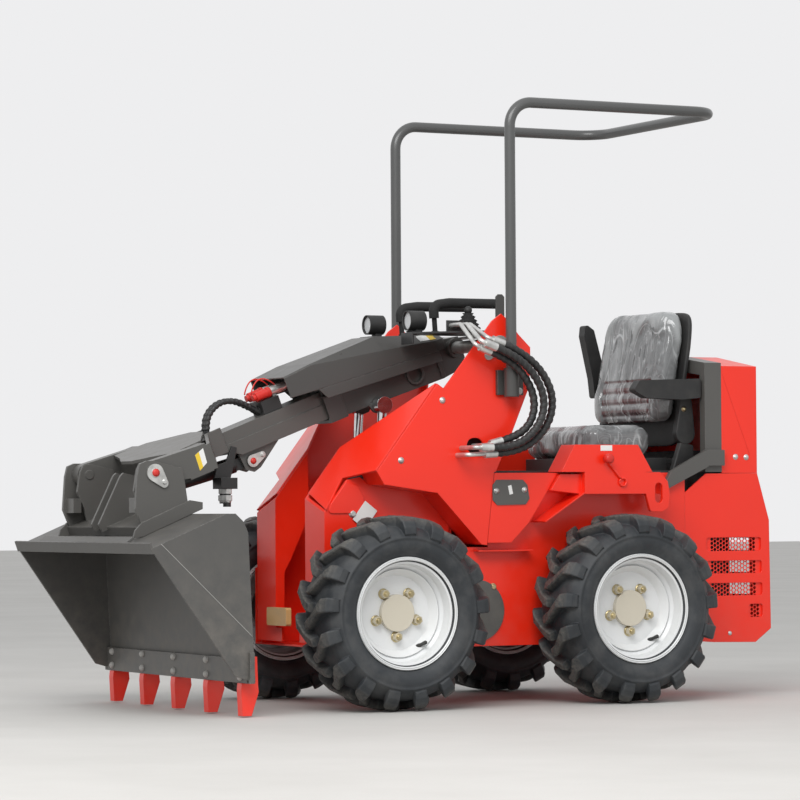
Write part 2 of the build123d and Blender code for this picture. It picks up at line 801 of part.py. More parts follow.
socket_wall = 7
socket_low = 944
socket_height = 88
socket_radius = rops_tube / 2 + socket_wall
socket_plate = rops_half - rops_tube / 2 - 2
with BuildPart() as rops_sockets:
    disc(level(socket_low), (rops_front, rops_half), socket_radius, socket_height)
    bar(
        side(socket_plate),
        (rops_front - 52, socket_low + 6),
        (rops_front + 38, socket_low + 82),
        socket_plate - tower_outer - seat_gap,
    )
    disc(
        level(rops_foot_z - seat_gap),
        (rops_front, rops_half),
        rops_tube / 2 + seat_gap,
        socket_height + 10,
        Mode.SUBTRACT,
    )
    mirror(about=Plane.XZ)
rops_sockets.part.label = "rops_sockets"
export_step(rops_sockets.part, "parts/rops_sockets.step")

# Console shelves either side of the boom, joined behind it
shelf_reach = tower_outer - sheet - seat_gap
console_outline = [
    (-130, -240), (-60, -shelf_reach), (40, -shelf_reach), (150, -240), (208, -180),
    (208, -slot_half - 14), (-88, -slot_half), (-88, slot_half), (208, slot_half + 14),
    (208, 180), (150, 240), (40, shelf_reach), (-60, shelf_reach), (-130, 240),
]
shelf_top = shelf_z + sheet
bulkhead_y = 256
with BuildPart() as console:
    slab(level(shelf_z), console_outline, sheet)
    # Turned-down front lips under the lamps and a bulkhead for the hose pipes
    for low, high in ((slot_half + 14, 180), (-180, -slot_half - 14)):
        bar(across(208 - sheet), (low, shelf_z - 30), (high, shelf_z + 2), sheet)
    bar(side(bulkhead_y), (68, shelf_top - 2), (126, shelf_top + 34), 8)
console.part.label = "console"
export_step(console.part, "parts/console.step")

# Control bars: an upright post, a rounded bend and a long foam grip
lever_y = 112
bar_radius = 8
grip_radius = 15.5
grip_z = 1243
with BuildPart() as control_bars:
    with BuildLine() as post_line:
        FilletPolyline(
            point(92, lever_y, shelf_top + seat_gap + 4),
            point(98, lever_y, grip_z - 6),
            point(-30, lever_y - 8, grip_z),
            radius=24,
        )
    with BuildSketch(Plane(origin=post_line.line @ 0, z_dir=post_line.line % 0)):
        Circle(bar_radius)
    sweep()
    with BuildLine() as grip_line:
        FilletPolyline(
            point(95.5, lever_y, 1196),
            point(98, lever_y, grip_z - 6),
            point(40, lever_y - 4, grip_z + 2),
            point(-127, lever_y - 12, grip_z + 3),
            radius=[24, 60],
        )
    with BuildSketch(Plane(origin=grip_line.line @ 0, z_dir=grip_line.line % 0)):
        Circle(grip_radius)
    sweep()
    disc(level(shelf_top + seat_gap), (92, lever_y), 11, 8)
    mirror(about=Plane.XZ)
control_bars.part.label = "control_bars"
export_step(control_bars.part, "parts/control_bars.step")

# Joystick in its bellows on the left, a small lever with a knob on the right
joystick_at = (0, 158)
knob_lever_at = (44, -150)
bellows = [(42, 0), (44, 8), (36, 12), (39, 18), (31, 22), (34, 28), (26, 32), (28, 38), (20, 42),
           (21, 48), (14, 52)]
with BuildPart() as joystick:
    with BuildSketch(
        Plane(
            origin=point(joystick_at[0], joystick_at[1], shelf_top + seat_gap),
            x_dir=(1, 0, 0),
            z_dir=(0, -1, 0),
        )
    ):
        Polygon((0, 0), *bellows, (9, 60), (12, 72), (10, 84), (0, 86), align=None)
    revolve(axis=Axis(point(joystick_at[0], joystick_at[1], 0), (0, 0, 1)))
    disc(level(shelf_top + seat_gap), knob_lever_at, 22, 10)
    disc(level(shelf_top + seat_gap), knob_lever_at, 6, 60)
    with Locations(point(knob_lever_at[0], knob_lever_at[1], shelf_top + 72)):
        Sphere(15)
joystick.part.label = "joystick"
export_step(joystick.part, "parts/joystick.step")

# Work lamps in round hooded housings, with their lenses
lamp_radius = 31
lamp_rear = 150
lamp_length = 56
lamp_y = 138
lamp_foot = 6
lamp_z = shelf_top + seat_gap + lamp_foot + lamp_radius
lens_inset = 8
with BuildPart() as headlamps:
    for y in (lamp_y, -lamp_y):
        disc(across(lamp_rear), (y, lamp_z), lamp_radius, lamp_length)
        disc(
            across(lamp_rear + lamp_length - 22),
            (y, lamp_z),
            lamp_radius - 3,
            30,
            Mode.SUBTRACT,
        )
        bar(
            level(shelf_top + seat_gap),
            (lamp_rear + 8, y - 14),
            (lamp_rear + lamp_length - 26, y + 14),
            lamp_foot + 6,
        )
headlamps.part.label = "headlamps"
export_step(headlamps.part, "parts/headlamps.step")
with BuildPart() as lamp_lenses:
    for y in (lamp_y, -lamp_y):
        disc(
            across(lamp_rear + lamp_length - 22 + seat_gap),
            (y, lamp_z),
            lamp_radius - 3 - seat_gap,
            22 - lens_inset,
        )
lamp_lenses.part.label = "lamp_lenses"
export_step(lamp_lenses.part, "parts/lamp_lenses.step")

# Amber marker in a bracket between the towers' feet
marker_half = 60
with BuildPart() as marker_block:
    bar(
        across(tower_front + seat_gap),
        (-tower_inner - 20, 244),
        (-tower_inner + 2 * marker_half, 300),
        18,
    )
    fillet(marker_block.edges().filter_by(Axis.X), 8)
marker_block.part.label = "marker_block"
export_step(marker_block.part, "parts/marker_block.step")

# Outer boom, pivoted between the towers, with a skirt that carries the cover
skirt_rear = 65
skirt_front = 522
skirt_half_rear = 78
skirt_half_front = 123
skirt_sheet = 5
cover_rise = 0.0853
cover_low_rear = 14


def cover_low(s):
    """Height of the cover's lower edge at a distance along the boom."""
    return cover_low_rear + cover_rise * (s - skirt_rear)


def cover_half(s):
    """Half of the cover's width at a distance along the boom, up to its widest section."""
    share = (s - skirt_rear) / (skirt_front - skirt_rear)
    return skirt_half_rear + share * (skirt_half_front - skirt_half_rear)


skirt_height = 34
skirt_outline = [
    (skirt_rear, cover_low(skirt_rear) - skirt_height),
    (skirt_front - 21, cover_low(skirt_front - 21) - skirt_height),
    (skirt_front, cover_low(skirt_front) - seat_gap),
    (skirt_rear, cover_low(skirt_rear) - seat_gap),
]
skirt_plan = [
    (skirt_rear, -skirt_half_rear), (skirt_front, -skirt_half_front),
    (skirt_front, skirt_half_front), (skirt_rear, skirt_half_rear),
]
skirt_inside = [
    (-40, skirt_sheet - cover_half(skirt_rear - 40)), (500, skirt_sheet - cover_half(565)),
    (500, cover_half(565) - skirt_sheet), (-40, cover_half(skirt_rear - 40) - skirt_sheet),
]
floor_x, floor_z = boom_point(skirt_rear, skirt_outline[0][1] + skirt_sheet)
floor_tilt = Vector(*boom_forward) + Vector(*boom_up) * cover_rise
floor_normal = Vector(*boom_up) - Vector(*boom_forward) * cover_rise
skirt_floor = Plane(origin=point(floor_x, 0, floor_z), x_dir=floor_tilt, z_dir=floor_normal)
web_low_rear = -76
web_low_front = inner_bottom - slide_gap - outer_wall
outer_web = [
    (-25, -40), (20, -71), (69, web_low_rear), (collar_rear, web_low_front),
    (outer_front, web_low_front), (outer_front, outer_top), (58, outer_top), (30, 40), (-25, 30),
]
collar_low = web_low_front - collar_wall
collar_high = outer_top + 2
lug_at = (314.5, -74.2)
boom_lug_outer = lift_y - lift_eye_half - 0.5
hole_at = (163, -29)
hole_radius = 24
pad_gap = 0.5
pad_length = 50
pad_width = outer_half - 1 - inner_half - pad_gap
with BuildPart() as boom_outer:
    slab(boom_side(skirt_half_front + 5), skirt_outline, 2 * (skirt_half_front + 5))
    slab(boom_level(-60), skirt_plan, 200, Mode.INTERSECT)
    slab(skirt_floor, skirt_inside, 200, Mode.SUBTRACT)
    slab(boom_side(outer_half), outer_web, 2 * outer_half)
    bar(
        boom_side(outer_half + collar_wall),
        (collar_rear, collar_low),
        (outer_front, collar_high),
        2 * (outer_half + collar_wall),
    )
    # Upright straps on the webs
    bar(
        boom_side(outer_half + collar_wall), (62, web_low_rear + 6), (76, -10),
        2 * (outer_half + collar_wall),
    )
    # Lugs that the lift cylinders' rods are pinned beside
    for y in both_sides(boom_lug_outer, plate):
        slab(
            boom_side(y),
            [(278, -59.5), (289, -88), (303, -98), (326, -98), (340, -88), (352, -59.5)],
            plate,
        )
    disc(boom_side(outer_half + 8), hole_at, hole_radius + 7, 2 * (outer_half + 8))
    bar(
        boom_side(outer_half - outer_wall),
        (inner_rear - slide_gap, inner_bottom - slide_gap),
        (outer_front + 40, inner_top + slide_gap),
        2 * (outer_half - outer_wall),
        Mode.SUBTRACT,
    )
    disc(boom_side(outer_half + 9), hole_at, hole_radius, 2 * (outer_half + 9), Mode.SUBTRACT)
    # Wear pads that guide the inner boom, in the collar and near the rear
    for s in (outer_front - pad_length - 5, 190):
        for y in both_sides(outer_half - 1, pad_width):
            bar(boom_side(y), (s, -45), (s + pad_length, -12), pad_width)
        bar(boom_side(30), (s, inner_top + pad_gap), (s + pad_length, outer_top - 1), 60)
        bar(boom_side(30), (s, web_low_front + 2), (s + pad_length, inner_bottom - pad_gap), 60)
    disc(boom_side(outer_half + 18), (0, 0), pivot_boss / 2, 2 * (outer_half + 18))
    disc(
        boom_side(outer_half + 18),
        (0, 0),
        pivot_pin / 2 + running_gap,
        2 * (outer_half + 18),
        Mode.SUBTRACT,
    )
boom_outer.part.label = "boom_outer"
export_step(boom_outer.part, "parts/boom_outer.step")

# Faceted cover over the outer boom. Each row is one section square to the boom:
# s, half width at the sides, top of the sides, half width of the flat top, top
cover_sections = [
    (34, 69, 46, 43, 58),
    (skirt_rear, skirt_half_rear, 48, 45, 68),
    (112, cover_half(112), 57, 50, 84),
    (264, cover_half(264), 86, 75, 134),
    (skirt_front - 1, cover_half(skirt_front - 1), 132, cover_half(skirt_front - 1) - 6, 136),
    (620, 122, 125, 116, 129),
]


def cover_section(row, wall, drop):
    """The sketch of one section of the cover, smaller by a wall and longer below."""
    s, half, shoulder, top_half, top = row
    with BuildSketch(boom_across(s)) as outline:
        Polygon(
            (wall - half, cover_low(s) - drop),
            (wall - half, shoulder - wall / 3),
            (wall / 3 - top_half, top - wall),
            (top_half - wall / 3, top - wall),
            (half - wall, shoulder - wall / 3),
            (half - wall, cover_low(s) - drop),
            align=None,
        )
    return outline.sketch


cover_space = [(30, *cover_sections[0][1:])] + cover_sections[1:5] + [(625, *cover_sections[5][1:])]
with BuildPart() as boom_cover:
    loft([cover_section(row, 0, 0) for row in cover_sections], ruled=True)
    loft(
        [cover_section(row, cover_wall, 15) for row in cover_space], ruled=True, mode=Mode.SUBTRACT,
    )
    # Ribs that rest on the outer boom
    for s, reach, top in ((136, 74, 88), (400, 104, 128)):
        bar(boom_across(s), (-reach, outer_top + seat_gap), (reach, top), 6)
boom_cover.part.label = "boom_cover"
export_step(boom_cover.part, "parts/boom_cover.step")

# Route of the two hoses on the inner boom, in the boom's frame
boom_hose_size = 16
boom_hose_y = 10
boom_hose_route = [(697, 57), (724, 85), (756, 108), (795, 117), (834, 106), (863, 78), (875, 40)]

# Inner boom: a square tube with a slightly narrower channel on top
channel_half = inner_half - channel_step
nose_taper = [(800, inner_bottom), (822, -40), (inner_front, -22)]
lug_outline = [(663, inner_bottom), (752, -112), (776, -118), (802, -100), (808, inner_bottom + 2)]
silver_bolt = (736, -80)
with BuildPart() as boom_inner:
    slab(
        boom_side(inner_half),
        [(inner_rear, inner_bottom)] + nose_taper + [(inner_front, channel_low), (inner_rear, channel_low)],
        2 * inner_half,
    )
    bar(
        boom_side(channel_half), (inner_rear, channel_low - 2), (inner_front, inner_top),
        2 * channel_half,
    )
    cavity = [(inner_rear - 1, inner_bottom + inner_wall), (798, inner_bottom + inner_wall),
              (820, inner_wall - 40), (inner_front + 1, inner_wall - 22),
              (inner_front + 1, inner_top - inner_wall), (inner_rear - 1, inner_top - inner_wall)]
    slab(boom_side(channel_half - inner_wall), cavity, 2 * (channel_half - inner_wall), Mode.SUBTRACT)
    # Lugs of the tilt cylinder under the tube
    for y in both_sides(lug_inner + lug_plate + 1, lug_plate):
        slab(boom_side(y), lug_outline, lug_plate)
    disc(boom_side(40), (tilt_base_s, tilt_base_t), tilt_pin / 2, 80)
    # Sleeves where the two hoses enter the top
    for y in (boom_hose_y, -boom_hose_y):
        before, end = [boom_point(*corner) for corner in boom_hose_route[-2:]]
        way = point(end[0], y, end[1]) - point(before[0], y, before[1])
        with BuildSketch(Plane(origin=point(end[0], y, end[1]), z_dir=way)) as sleeve:
            Circle(boom_hose_size / 2 + 1.4)
        extrude(sleeve.sketch, amount=11)
boom_inner.part.label = "boom_inner"
export_step(boom_inner.part, "parts/boom_inner.step")

# Head: flared side plates, a cross box, a top plate and two arms out to the coupler's pins
head_low = -26
head_high = 52
box_rear = 1004
box_front = 1084
box_low = -29
box_high = 58
boss_radius = 34
throat = 64
pin_s = (pin_x - pivot_x) * cos(slope) - (pin_z - pivot_z) * sin(slope)
pin_t = (pin_x - pivot_x) * sin(slope) + (pin_z - pivot_z) * cos(slope)
flare_path = [
    (848, inner_half + seat_gap), (903, inner_half + seat_gap + 8), (996, arm_outer - head_sheet),
    (1060, arm_outer - head_sheet),
]
with BuildPart() as boom_head:
    for hand in (1, -1):
        path = folded(flare_path, head_sheet)
        slab(boom_level(head_low), [(s, hand * y) for s, y in path], head_high - head_low)
    bar(boom_across(box_rear), (-arm_outer, 0), (arm_outer, box_high), box_front - box_rear)
    for hand in (1, -1):
        bar(
            boom_across(box_rear), (hand * throat, box_low), (hand * arm_outer, 2),
            box_front - box_rear,
        )
    for y in both_sides(arm_outer, arm_outer - arm_inner):
        with BuildSketch(boom_side(y)) as arm:
            with Locations((pin_s, pin_t)):
                Circle(boss_radius)
            with Locations(((box_front + box_rear) / 2, (box_low + box_high) / 2)):
                Rectangle(40, box_high - box_low - 1)
            make_hull()
        extrude(arm.sketch, amount=arm_outer - arm_inner)
        disc(
            boom_side(y), (pin_s, pin_t), head_pin / 2 + running_gap, arm_outer - arm_inner,
            Mode.SUBTRACT,
        )
    # Top plate over the box, with a blunt point forward
    top_plate = [
        (900, 46), (985, 205), (1090, arm_inner - 3), (1118, 120), (1150, 40), (1150, -40),
        (1118, -120), (1090, 3 - arm_inner), (985, -205), (900, -46),
    ]
    slab(boom_level(head_high - 2), top_plate, 10)
    for hand in (1, -1):
        gusset = [(912, 60), (1010, 240), (1010, throat + 10), (960, 62)]
        slab(boom_level(box_low), [(s, hand * y) for s, y in gusset], 8)
    bar(boom_side(inner_half), (inner_front + seat_gap, -24), (box_rear + 2, inner_top), 2 * inner_half)
    bar(
        boom_side(inner_half - head_sheet), (inner_front - 5, -90), (box_rear, inner_top - 10),
        2 * (inner_half - head_sheet), Mode.SUBTRACT,
    )
    # Clear way for the tilt cylinder and the inner boom's end
    bar(boom_side(throat - 8), (inner_front - 5, -90), (box_front + 80, -1), 2 * (throat - 8), Mode.SUBTRACT)
boom_head.part.label = "boom_head"
export_step(boom_head.part, "parts/boom_head.step")

# Hydraulic couplers on a block on the inner boom, with their caps
block_rear = 620
block_front = 684
block_top = 74
coupler_t = 92
coupler_y = 24
coupler_radius = 14
cap_radius = 15
block_half = 40
with BuildPart() as boom_fittings:
    bar(
        boom_across(block_rear), (-block_half, inner_top + seat_gap), (block_half, block_top),
        block_front - block_rear,
    )
    # Hose sleeves at the front of the block and where the hoses enter the boom
    for y in (boom_hose_y, -boom_hose_y):
        start, second = [boom_point(*corner) for corner in boom_hose_route[:2]]
        back = point(start[0], y, start[1]) - point(second[0], y, second[1])
        with BuildSketch(Plane(origin=point(start[0], y, start[1]), z_dir=back)) as sleeve:
            Circle(boom_hose_size / 2 + 1.4)
        extrude(sleeve.sketch, amount=21)
    # Fittings block hung beside the boom's nose
    for y, low, high in ((96, 612, 666), (70, 622, 668)):
        disc(level(low), (800, y), 12, high - low)
    bar(level(666), (772, 50), (826, 112), 34)
    hanger = [(772, 690), (826, 690), (812, 738), (784, 748), (764, 796), (748, 792), (758, 740)]
    slab(side(inner_half + seat_gap + 9), hanger, 9)
boom_fittings.part.label = "boom_fittings"
export_step(boom_fittings.part, "parts/boom_fittings.step")
with BuildPart() as aux_couplers:
    for y in (coupler_y, -coupler_y):
        disc(boom_across(572), (y, coupler_t), coupler_radius - 3, 14)
        disc(boom_across(586), (y, coupler_t), coupler_radius, 50)
        with BuildSketch(boom_across(600)) as hexagon:
            with Locations((y, coupler_t)):
                RegularPolygon(coupler_radius + 1.5, 6)
        extrude(hexagon.sketch, amount=16)
        bar(
            boom_across(622), (y - 8, block_top + seat_gap), (y + 8, coupler_t - 6), 12,
        )
aux_couplers.part.label = "aux_couplers"
export_step(aux_couplers.part, "parts/aux_couplers.step")
with BuildPart() as coupler_caps:
    for y in (coupler_y, -coupler_y):
        disc(boom_across(636 + seat_gap), (y, coupler_t), cap_radius, 52)
        disc(boom_across(640), (y, coupler_t), cap_radius + 2, 8)
        disc(boom_across(680), (y, coupler_t), cap_radius - 5, 18)
coupler_caps.part.label = "coupler_caps"
export_step(coupler_caps.part, "parts/coupler_caps.step")

# Coupler plate that the bucket hangs on
ear_outline = [
    (1175, 707), (1167, 739), (1145, 748), (1122, 748), (1032, 727), (1026, 700), (1014, 623),
    (1015, 614), (1159, 553), (1182, 606),
]
inner_ear_outline = [
    (1150, 722), (1140, 742), (1118, 746), (1040, 728), (1030, 700), (1015, 623), (1015, 614),
    (1125, 567), (1138, 612), (1160, 660),
]
roof_rear = (1000, 592)
roof_front = (1155, 527.3)
rail_height = 28
rail_low = shifted_line(roof_rear, roof_front, seat_gap)
rail_high = shifted_line(roof_rear, roof_front, rail_height)
centre_lug = [
    (1096, 712), (1112, 716), (1122, 706), (1192, 562), (1180, 538), (1008, 612), (985, 650), (1000, 690),
]
ear_inner_face = ear_outer - ear_plate - ear_space
with BuildPart() as coupler:
    for y in both_sides(ear_outer, ear_plate):
        rounded_slab(side(y), ear_outline, 3, ear_plate)
    for y in both_sides(ear_inner_face, ear_plate):
        rounded_slab(side(y), inner_ear_outline, 3, ear_plate)
    for y in both_sides(ear_outer, 2 * ear_plate + ear_space):
        disc(side(y), (pin_x, pin_z), head_pin / 2, 2 * ear_plate + ear_space)
        # Spacer block between the ears, at the front
        bar(side(y - 2), (1146, 596), (1172, 640), 2 * ear_plate + ear_space - 4)
    for y in both_sides(ear_inner_face - ear_plate + 3, 6):
        disc(side(y), (pin_x, pin_z), head_pin / 2 - 1, 6)
    slab(
        side(ear_outer),
        [rail_low[0], rail_low[1], rail_high[1], rail_high[0]],
        2 * ear_outer,
    )
    # Side rails along the roof
    side_rail = [(970, 606), (1161, 525.5), (1192, 523), (1186, 545), (1165, 566), (1010, 632), (970, 626)]
    for y in both_sides(ear_outer + 8, 8):
        slab(side(y), side_rail, 8)
    for y in both_sides(lug_inner + lug_plate, lug_plate):
        slab(side(y), centre_lug, lug_plate)
coupler.part.label = "coupler"
export_step(coupler.part, "parts/coupler.step")

# Keeper plates of the coupler's pins, and the lever that locks the bucket
lever_length = 62
with BuildPart() as coupler_pins:
    for y in both_sides(ear_outer + seat_gap + keeper, keeper):
        teardrop(side(y), (pin_x, pin_z), keeper_radius, (1092, 682), 13, keeper)
        disc(side(y + 3 if y > 0 else y), (pin_x, pin_z), 13, keeper + 3)
    disc(side(ear_inner_face - ear_plate - seat_gap), (1075, 600), 7, lever_length)
coupler_pins.part.label = "coupler_pins"
export_step(coupler_pins.part, "parts/coupler_pins.step")

# Bucket: sheet folded round the back, with side plates and a guard along the lip
bucket_outline = [
    (1237, 493), (1000, 592), (972, 592), (946, 568), (932, 536), (918, 232), (911, 103),
    (973, 121),
]
bucket_hollow = [
    (1260, 475), (1237, 484.5), (999, 584), (975, 584), (953, 563), (940, 534), (926, 232),
    (919, 90), (990, 60),
]
lip_outline = [(1232, 477), (1243, 508), (1237.5, 510.3), (1226, 479.5)]
guard_line = [(1240, 506), (1214, 526)]
guard_half = 344
with BuildPart() as bucket_shell:
    slab(side(bucket_half), bucket_outline, 2 * bucket_half)
    slab(
        side(bucket_half - bucket_wall), bucket_hollow, 2 * (bucket_half - bucket_wall),
        Mode.SUBTRACT,
    )
    slab(side(bucket_half), lip_outline, 2 * bucket_half)
    slab(side(guard_half), folded(guard_line, bucket_wall), 2 * guard_half)
bucket_shell.part.label = "bucket_shell"
export_step(bucket_shell.part, "parts/bucket_shell.step")

# Cutting edge along the foot of the back sheet, with its bolts
edge_front = 933
edge_rear = edge_front - edge_thickness + 8
edge_low = 100
edge_high = 172
bolt_rows = [(117, 11), (160, 11)]
edge_bolts = [(n - (tooth_count - 1) / 2) * tooth_pitch for n in range(tooth_count)]
edge_outline = [
    (920.2, 104), (923.6, edge_high), (edge_front + 2, edge_high), (edge_front + 2, edge_low),
    (920, edge_low),
]
end_block = [(edge_rear, edge_low), (edge_rear, 190), (edge_front, 190), (edge_front, edge_low)]
end_block_width = 13
with BuildPart() as cutting_edge:
    slab(
        side(bucket_half - bucket_wall - seat_gap),
        edge_outline,
        2 * (bucket_half - bucket_wall - seat_gap),
    )
    for y in edge_bolts:
        for z, radius in bolt_rows:
            across_inset = min(abs(y), bucket_half - bucket_wall - radius - 8)
            with Locations(point(edge_front + 2, across_inset if y > 0 else -across_inset, z)):
                Sphere(radius)
    for y in both_sides(bucket_half + seat_gap + end_block_width, end_block_width):
        slab(side(y), end_block, end_block_width)
cutting_edge.part.label = "cutting_edge"
export_step(cutting_edge.part, "parts/cutting_edge.step")

# Teeth bolted under the edge
tooth_outline = [
    (938, edge_low - seat_gap), (913, edge_low - seat_gap), (886, 93), (884, 73), (907, 4),
    (936, 4), (940, 80),
]
with BuildPart() as bucket_teeth:
    for y in edge_bolts:
        slab(side(y + tooth_width / 2), tooth_outline, tooth_width)
        # Shank behind the bucket's back sheet
        slab(
            side(y + tooth_width / 2),
            [(886, 93), (911 - 1, 93), (911 - 1, 176), (889, 176)],
            tooth_width,
        )
bucket_teeth.part.label = "bucket_teeth"
export_step(bucket_teeth.part, "parts/bucket_teeth.step")


def cylinder_plane(base, eye, y):
    """The upright plane along a cylinder: x runs from its base pin to its rod pin."""
    run = hypot(eye[0] - base[0], eye[1] - base[1])
    forward = ((eye[0] - base[0]) / run, 0, (eye[1] - base[1]) / run)
    return Plane(origin=point(base[0], y, base[1]), x_dir=forward, z_dir=(0, -1, 0))


def cylinder_axis(base, eye, y, distance):
    """The plane square to a cylinder at a distance from its base pin."""
    run = hypot(eye[0] - base[0], eye[1] - base[1])
    forward = ((eye[0] - base[0]) / run, 0, (eye[1] - base[1]) / run)
    origin = point(base[0] + forward[0] * distance, y, base[1] + forward[2] * distance)
    return Plane(origin=origin, x_dir=(0, 1, 0), z_dir=forward)


# Tilt cylinder, with a thicker gland at the rod's end of the barrel
tilt_base = boom_point(tilt_base_s, tilt_base_t)
tilt_length = hypot(tilt_eye[0] - tilt_base[0], tilt_eye[1] - tilt_base[1])
tilt_barrel_end = 278
with BuildPart() as tilt_barrel:
    plane = cylinder_plane(tilt_base, tilt_eye, lug_inner)
    disc(plane, (0, 0), 22, 2 * lug_inner)
    bar(plane, (0, -18), (50, 18), 2 * lug_inner)
    disc(cylinder_axis(tilt_base, tilt_eye, 0, 46), (0, 0), tilt_barrel_size / 2, tilt_barrel_end - 46)
    disc(
        cylinder_axis(tilt_base, tilt_eye, 0, 66), (0, 0), tilt_rod_size / 2 + running_gap,
        tilt_barrel_end, Mode.SUBTRACT,
    )
    disc(plane, (0, 0), tilt_pin / 2 + running_gap, 2 * lug_inner, Mode.SUBTRACT)
tilt_barrel.part.label = "tilt_barrel"
export_step(tilt_barrel.part, "parts/tilt_barrel.step")
with BuildPart() as tilt_rod:
    plane = cylinder_plane(tilt_base, tilt_eye, lug_inner - eye_side_gap)
    disc(plane, (tilt_length, 0), 22, 2 * (lug_inner - eye_side_gap))
    disc(cylinder_axis(tilt_base, tilt_eye, 0, 72), (0, 0), tilt_rod_size / 2, tilt_length - 72)
tilt_rod.part.label = "tilt_rod"
export_step(tilt_rod.part, "parts/tilt_rod.step")

# Lift cylinders, one each side of the boom
lift_length = hypot(lift_eye[0] - lift_base[0], lift_eye[1] - lift_base[1])
lift_barrel_end = 480
gland_length = 30
with BuildPart() as lift_barrels:
    for y in (lift_y, -lift_y):
        plane = cylinder_plane(lift_base, lift_eye, y + lift_base_half)
        disc(plane, (0, 0), 28, 2 * lift_base_half)
        disc(
            cylinder_axis(lift_base, lift_eye, y, 20), (0, 0), lift_barrel_size / 2,
            lift_barrel_end - 20,
        )
        disc(
            cylinder_axis(lift_base, lift_eye, y, lift_barrel_end - gland_length), (0, 0),
            lift_barrel_size / 2 + 3, gland_length,
        )
        disc(
            cylinder_axis(lift_base, lift_eye, y, 60), (0, 0), lift_rod_size / 2 + running_gap,
            lift_barrel_end, Mode.SUBTRACT,
        )
        disc(plane, (0, 0), lift_pin / 2 + running_gap, 2 * lift_base_half, Mode.SUBTRACT)
lift_barrels.part.label = "lift_barrels"
export_step(lift_barrels.part, "parts/lift_barrels.step")
with BuildPart() as lift_rods:
    for y in (lift_y, -lift_y):
        plane = cylinder_plane(lift_base, lift_eye, y + lift_eye_half)
        disc(plane, (lift_length, 0), 26, 2 * lift_eye_half)
        disc(
            cylinder_axis(lift_base, lift_eye, y, 150), (0, 0), lift_rod_size / 2,
            lift_length - 150,
        )
lift_rods.part.label = "lift_rods"
export_step(lift_rods.part, "parts/lift_rods.step")

# Hoses. Each route is a list of points in its own upright plane; the arc at each corner
# is as large as its two runs allow.
loop_hose_size = 22
loop_y = rops_half + socket_radius + loop_hose_size / 2 + 3
middle_y = loop_y + loop_hose_size + 2
bend_share = 0.45
pipe_size = 14
ferrule_size = 26
ferrule_length = 42


def bend_radii(route):
    """The radius at each corner of a route: a share of the shorter run over tan(half turn)."""
    radii = []
    for a, b, c in zip(route, route[1:], route[2:]):
        before = b - a
        after = c - b
        half_turn = radians(before.get_angle(after)) / 2
        radii.append(bend_share * min(before.length, after.length) / tan(half_turn))
    return radii


def filled_share(tube, line, diameter):
    """The tube's volume over its section times its length."""
    length = sum(edge.length for edge in line.edges())
    return round(tube.volume / (pi * diameter**2 / 4 * length), 4)


# Outer, middle and inner loop from the console's pipes down to the left tower, each in an
# upright plane of its own outside the roll bar: (station, height) of the corners
loop_routes = {
    "outer": (loop_y, [
        (19, 1103), (-32, 1086), (-112, 1028), (-155, 948), (-142, 866), (-82, 801), (-7, 773),
        (47, 770),
    ]),
    "middle": (middle_y, [
        (57, 1091), (0, 1071), (-70, 1019), (-111, 944), (-100, 869), (-45, 809), (25, 787),
        (73, 787),
    ]),
    "inner": (loop_y, [
        (63, 1079), (3, 1056), (-55, 1008), (-90, 938), (-80, 870), (-32, 824), (28, 808),
    ]),
}
loop_ends = {}
for name, (y, corners) in loop_routes.items():
    route = [point(x, y, z) for x, z in corners]
    loop_ends[name] = {"upper": (route[0], route[1]), "lower": (route[-1], route[-2])}
    radii = bend_radii(route)
    print(f"loop_hose_{name}", [round(radius) for radius in radii])
    with BuildPart() as loop_hose:
        with BuildLine() as hose_line:
            FilletPolyline(*route, radius=radii)
        with BuildSketch(Plane(origin=hose_line.line @ 0, z_dir=hose_line.line % 0)):
            Circle(loop_hose_size / 2)
        sweep()
    print("share of section times length", filled_share(loop_hose.part, hose_line.line, loop_hose_size))
    loop_hose.part.label = f"loop_hose_{name}"
    export_step(loop_hose.part, f"parts/loop_hose_{name}.step")

# Steel pipes with ferrules at both ends of the loops. Each row names the loop and its end
# and gives (station, distance across, height) of the corners up to the bulkhead on the
# console, to the tower's plate or into its hole
pipe_runs = [
    ("outer", "upper", [(76, loop_y, 1122), (80, 320, 1166), (80, bulkhead_y + seat_gap, 1166)]),
    ("middle", "upper", [(110, middle_y, 1110), (97, 330, 1166), (97, bulkhead_y + seat_gap, 1166)]),
    ("inner", "upper", [(116, loop_y, 1099), (114, 320, 1166), (114, bulkhead_y + seat_gap, 1166)]),
    ("outer", "lower", [(146, loop_y, 765), (146, tower_outer + seat_gap, 765)]),
    ("middle", "lower", [(132, middle_y, 787), (132, tower_outer + seat_gap, 787)]),
    (
        "inner", "lower",
        [(hose_hole[0], loop_y, hose_hole[1]), (hose_hole[0], tower_outer - 14, hose_hole[1])],
    ),
]
pipe_bend = 12
with BuildPart() as hose_pipes:
    for name, end, corners in pipe_runs:
        start, beside = loop_ends[name][end]
        way = (start - beside).normalized()
        with BuildSketch(Plane(origin=start, z_dir=way)) as ferrule:
            Circle(ferrule_size / 2)
        extrude(ferrule.sketch, amount=ferrule_length)
        with BuildLine() as pipe_line:
            FilletPolyline(start + way * 6, *[point(x, y, z) for x, y, z in corners], radius=pipe_bend)
        with BuildSketch(Plane(origin=pipe_line.line @ 0, z_dir=pipe_line.line % 0)) as pipe:
            Circle(pipe_size / 2)
        sweep(pipe.sketch, path=pipe_line.line)
hose_pipes.part.label = "hose_pipes"
export_step(hose_pipes.part, "parts/hose_pipes.step")

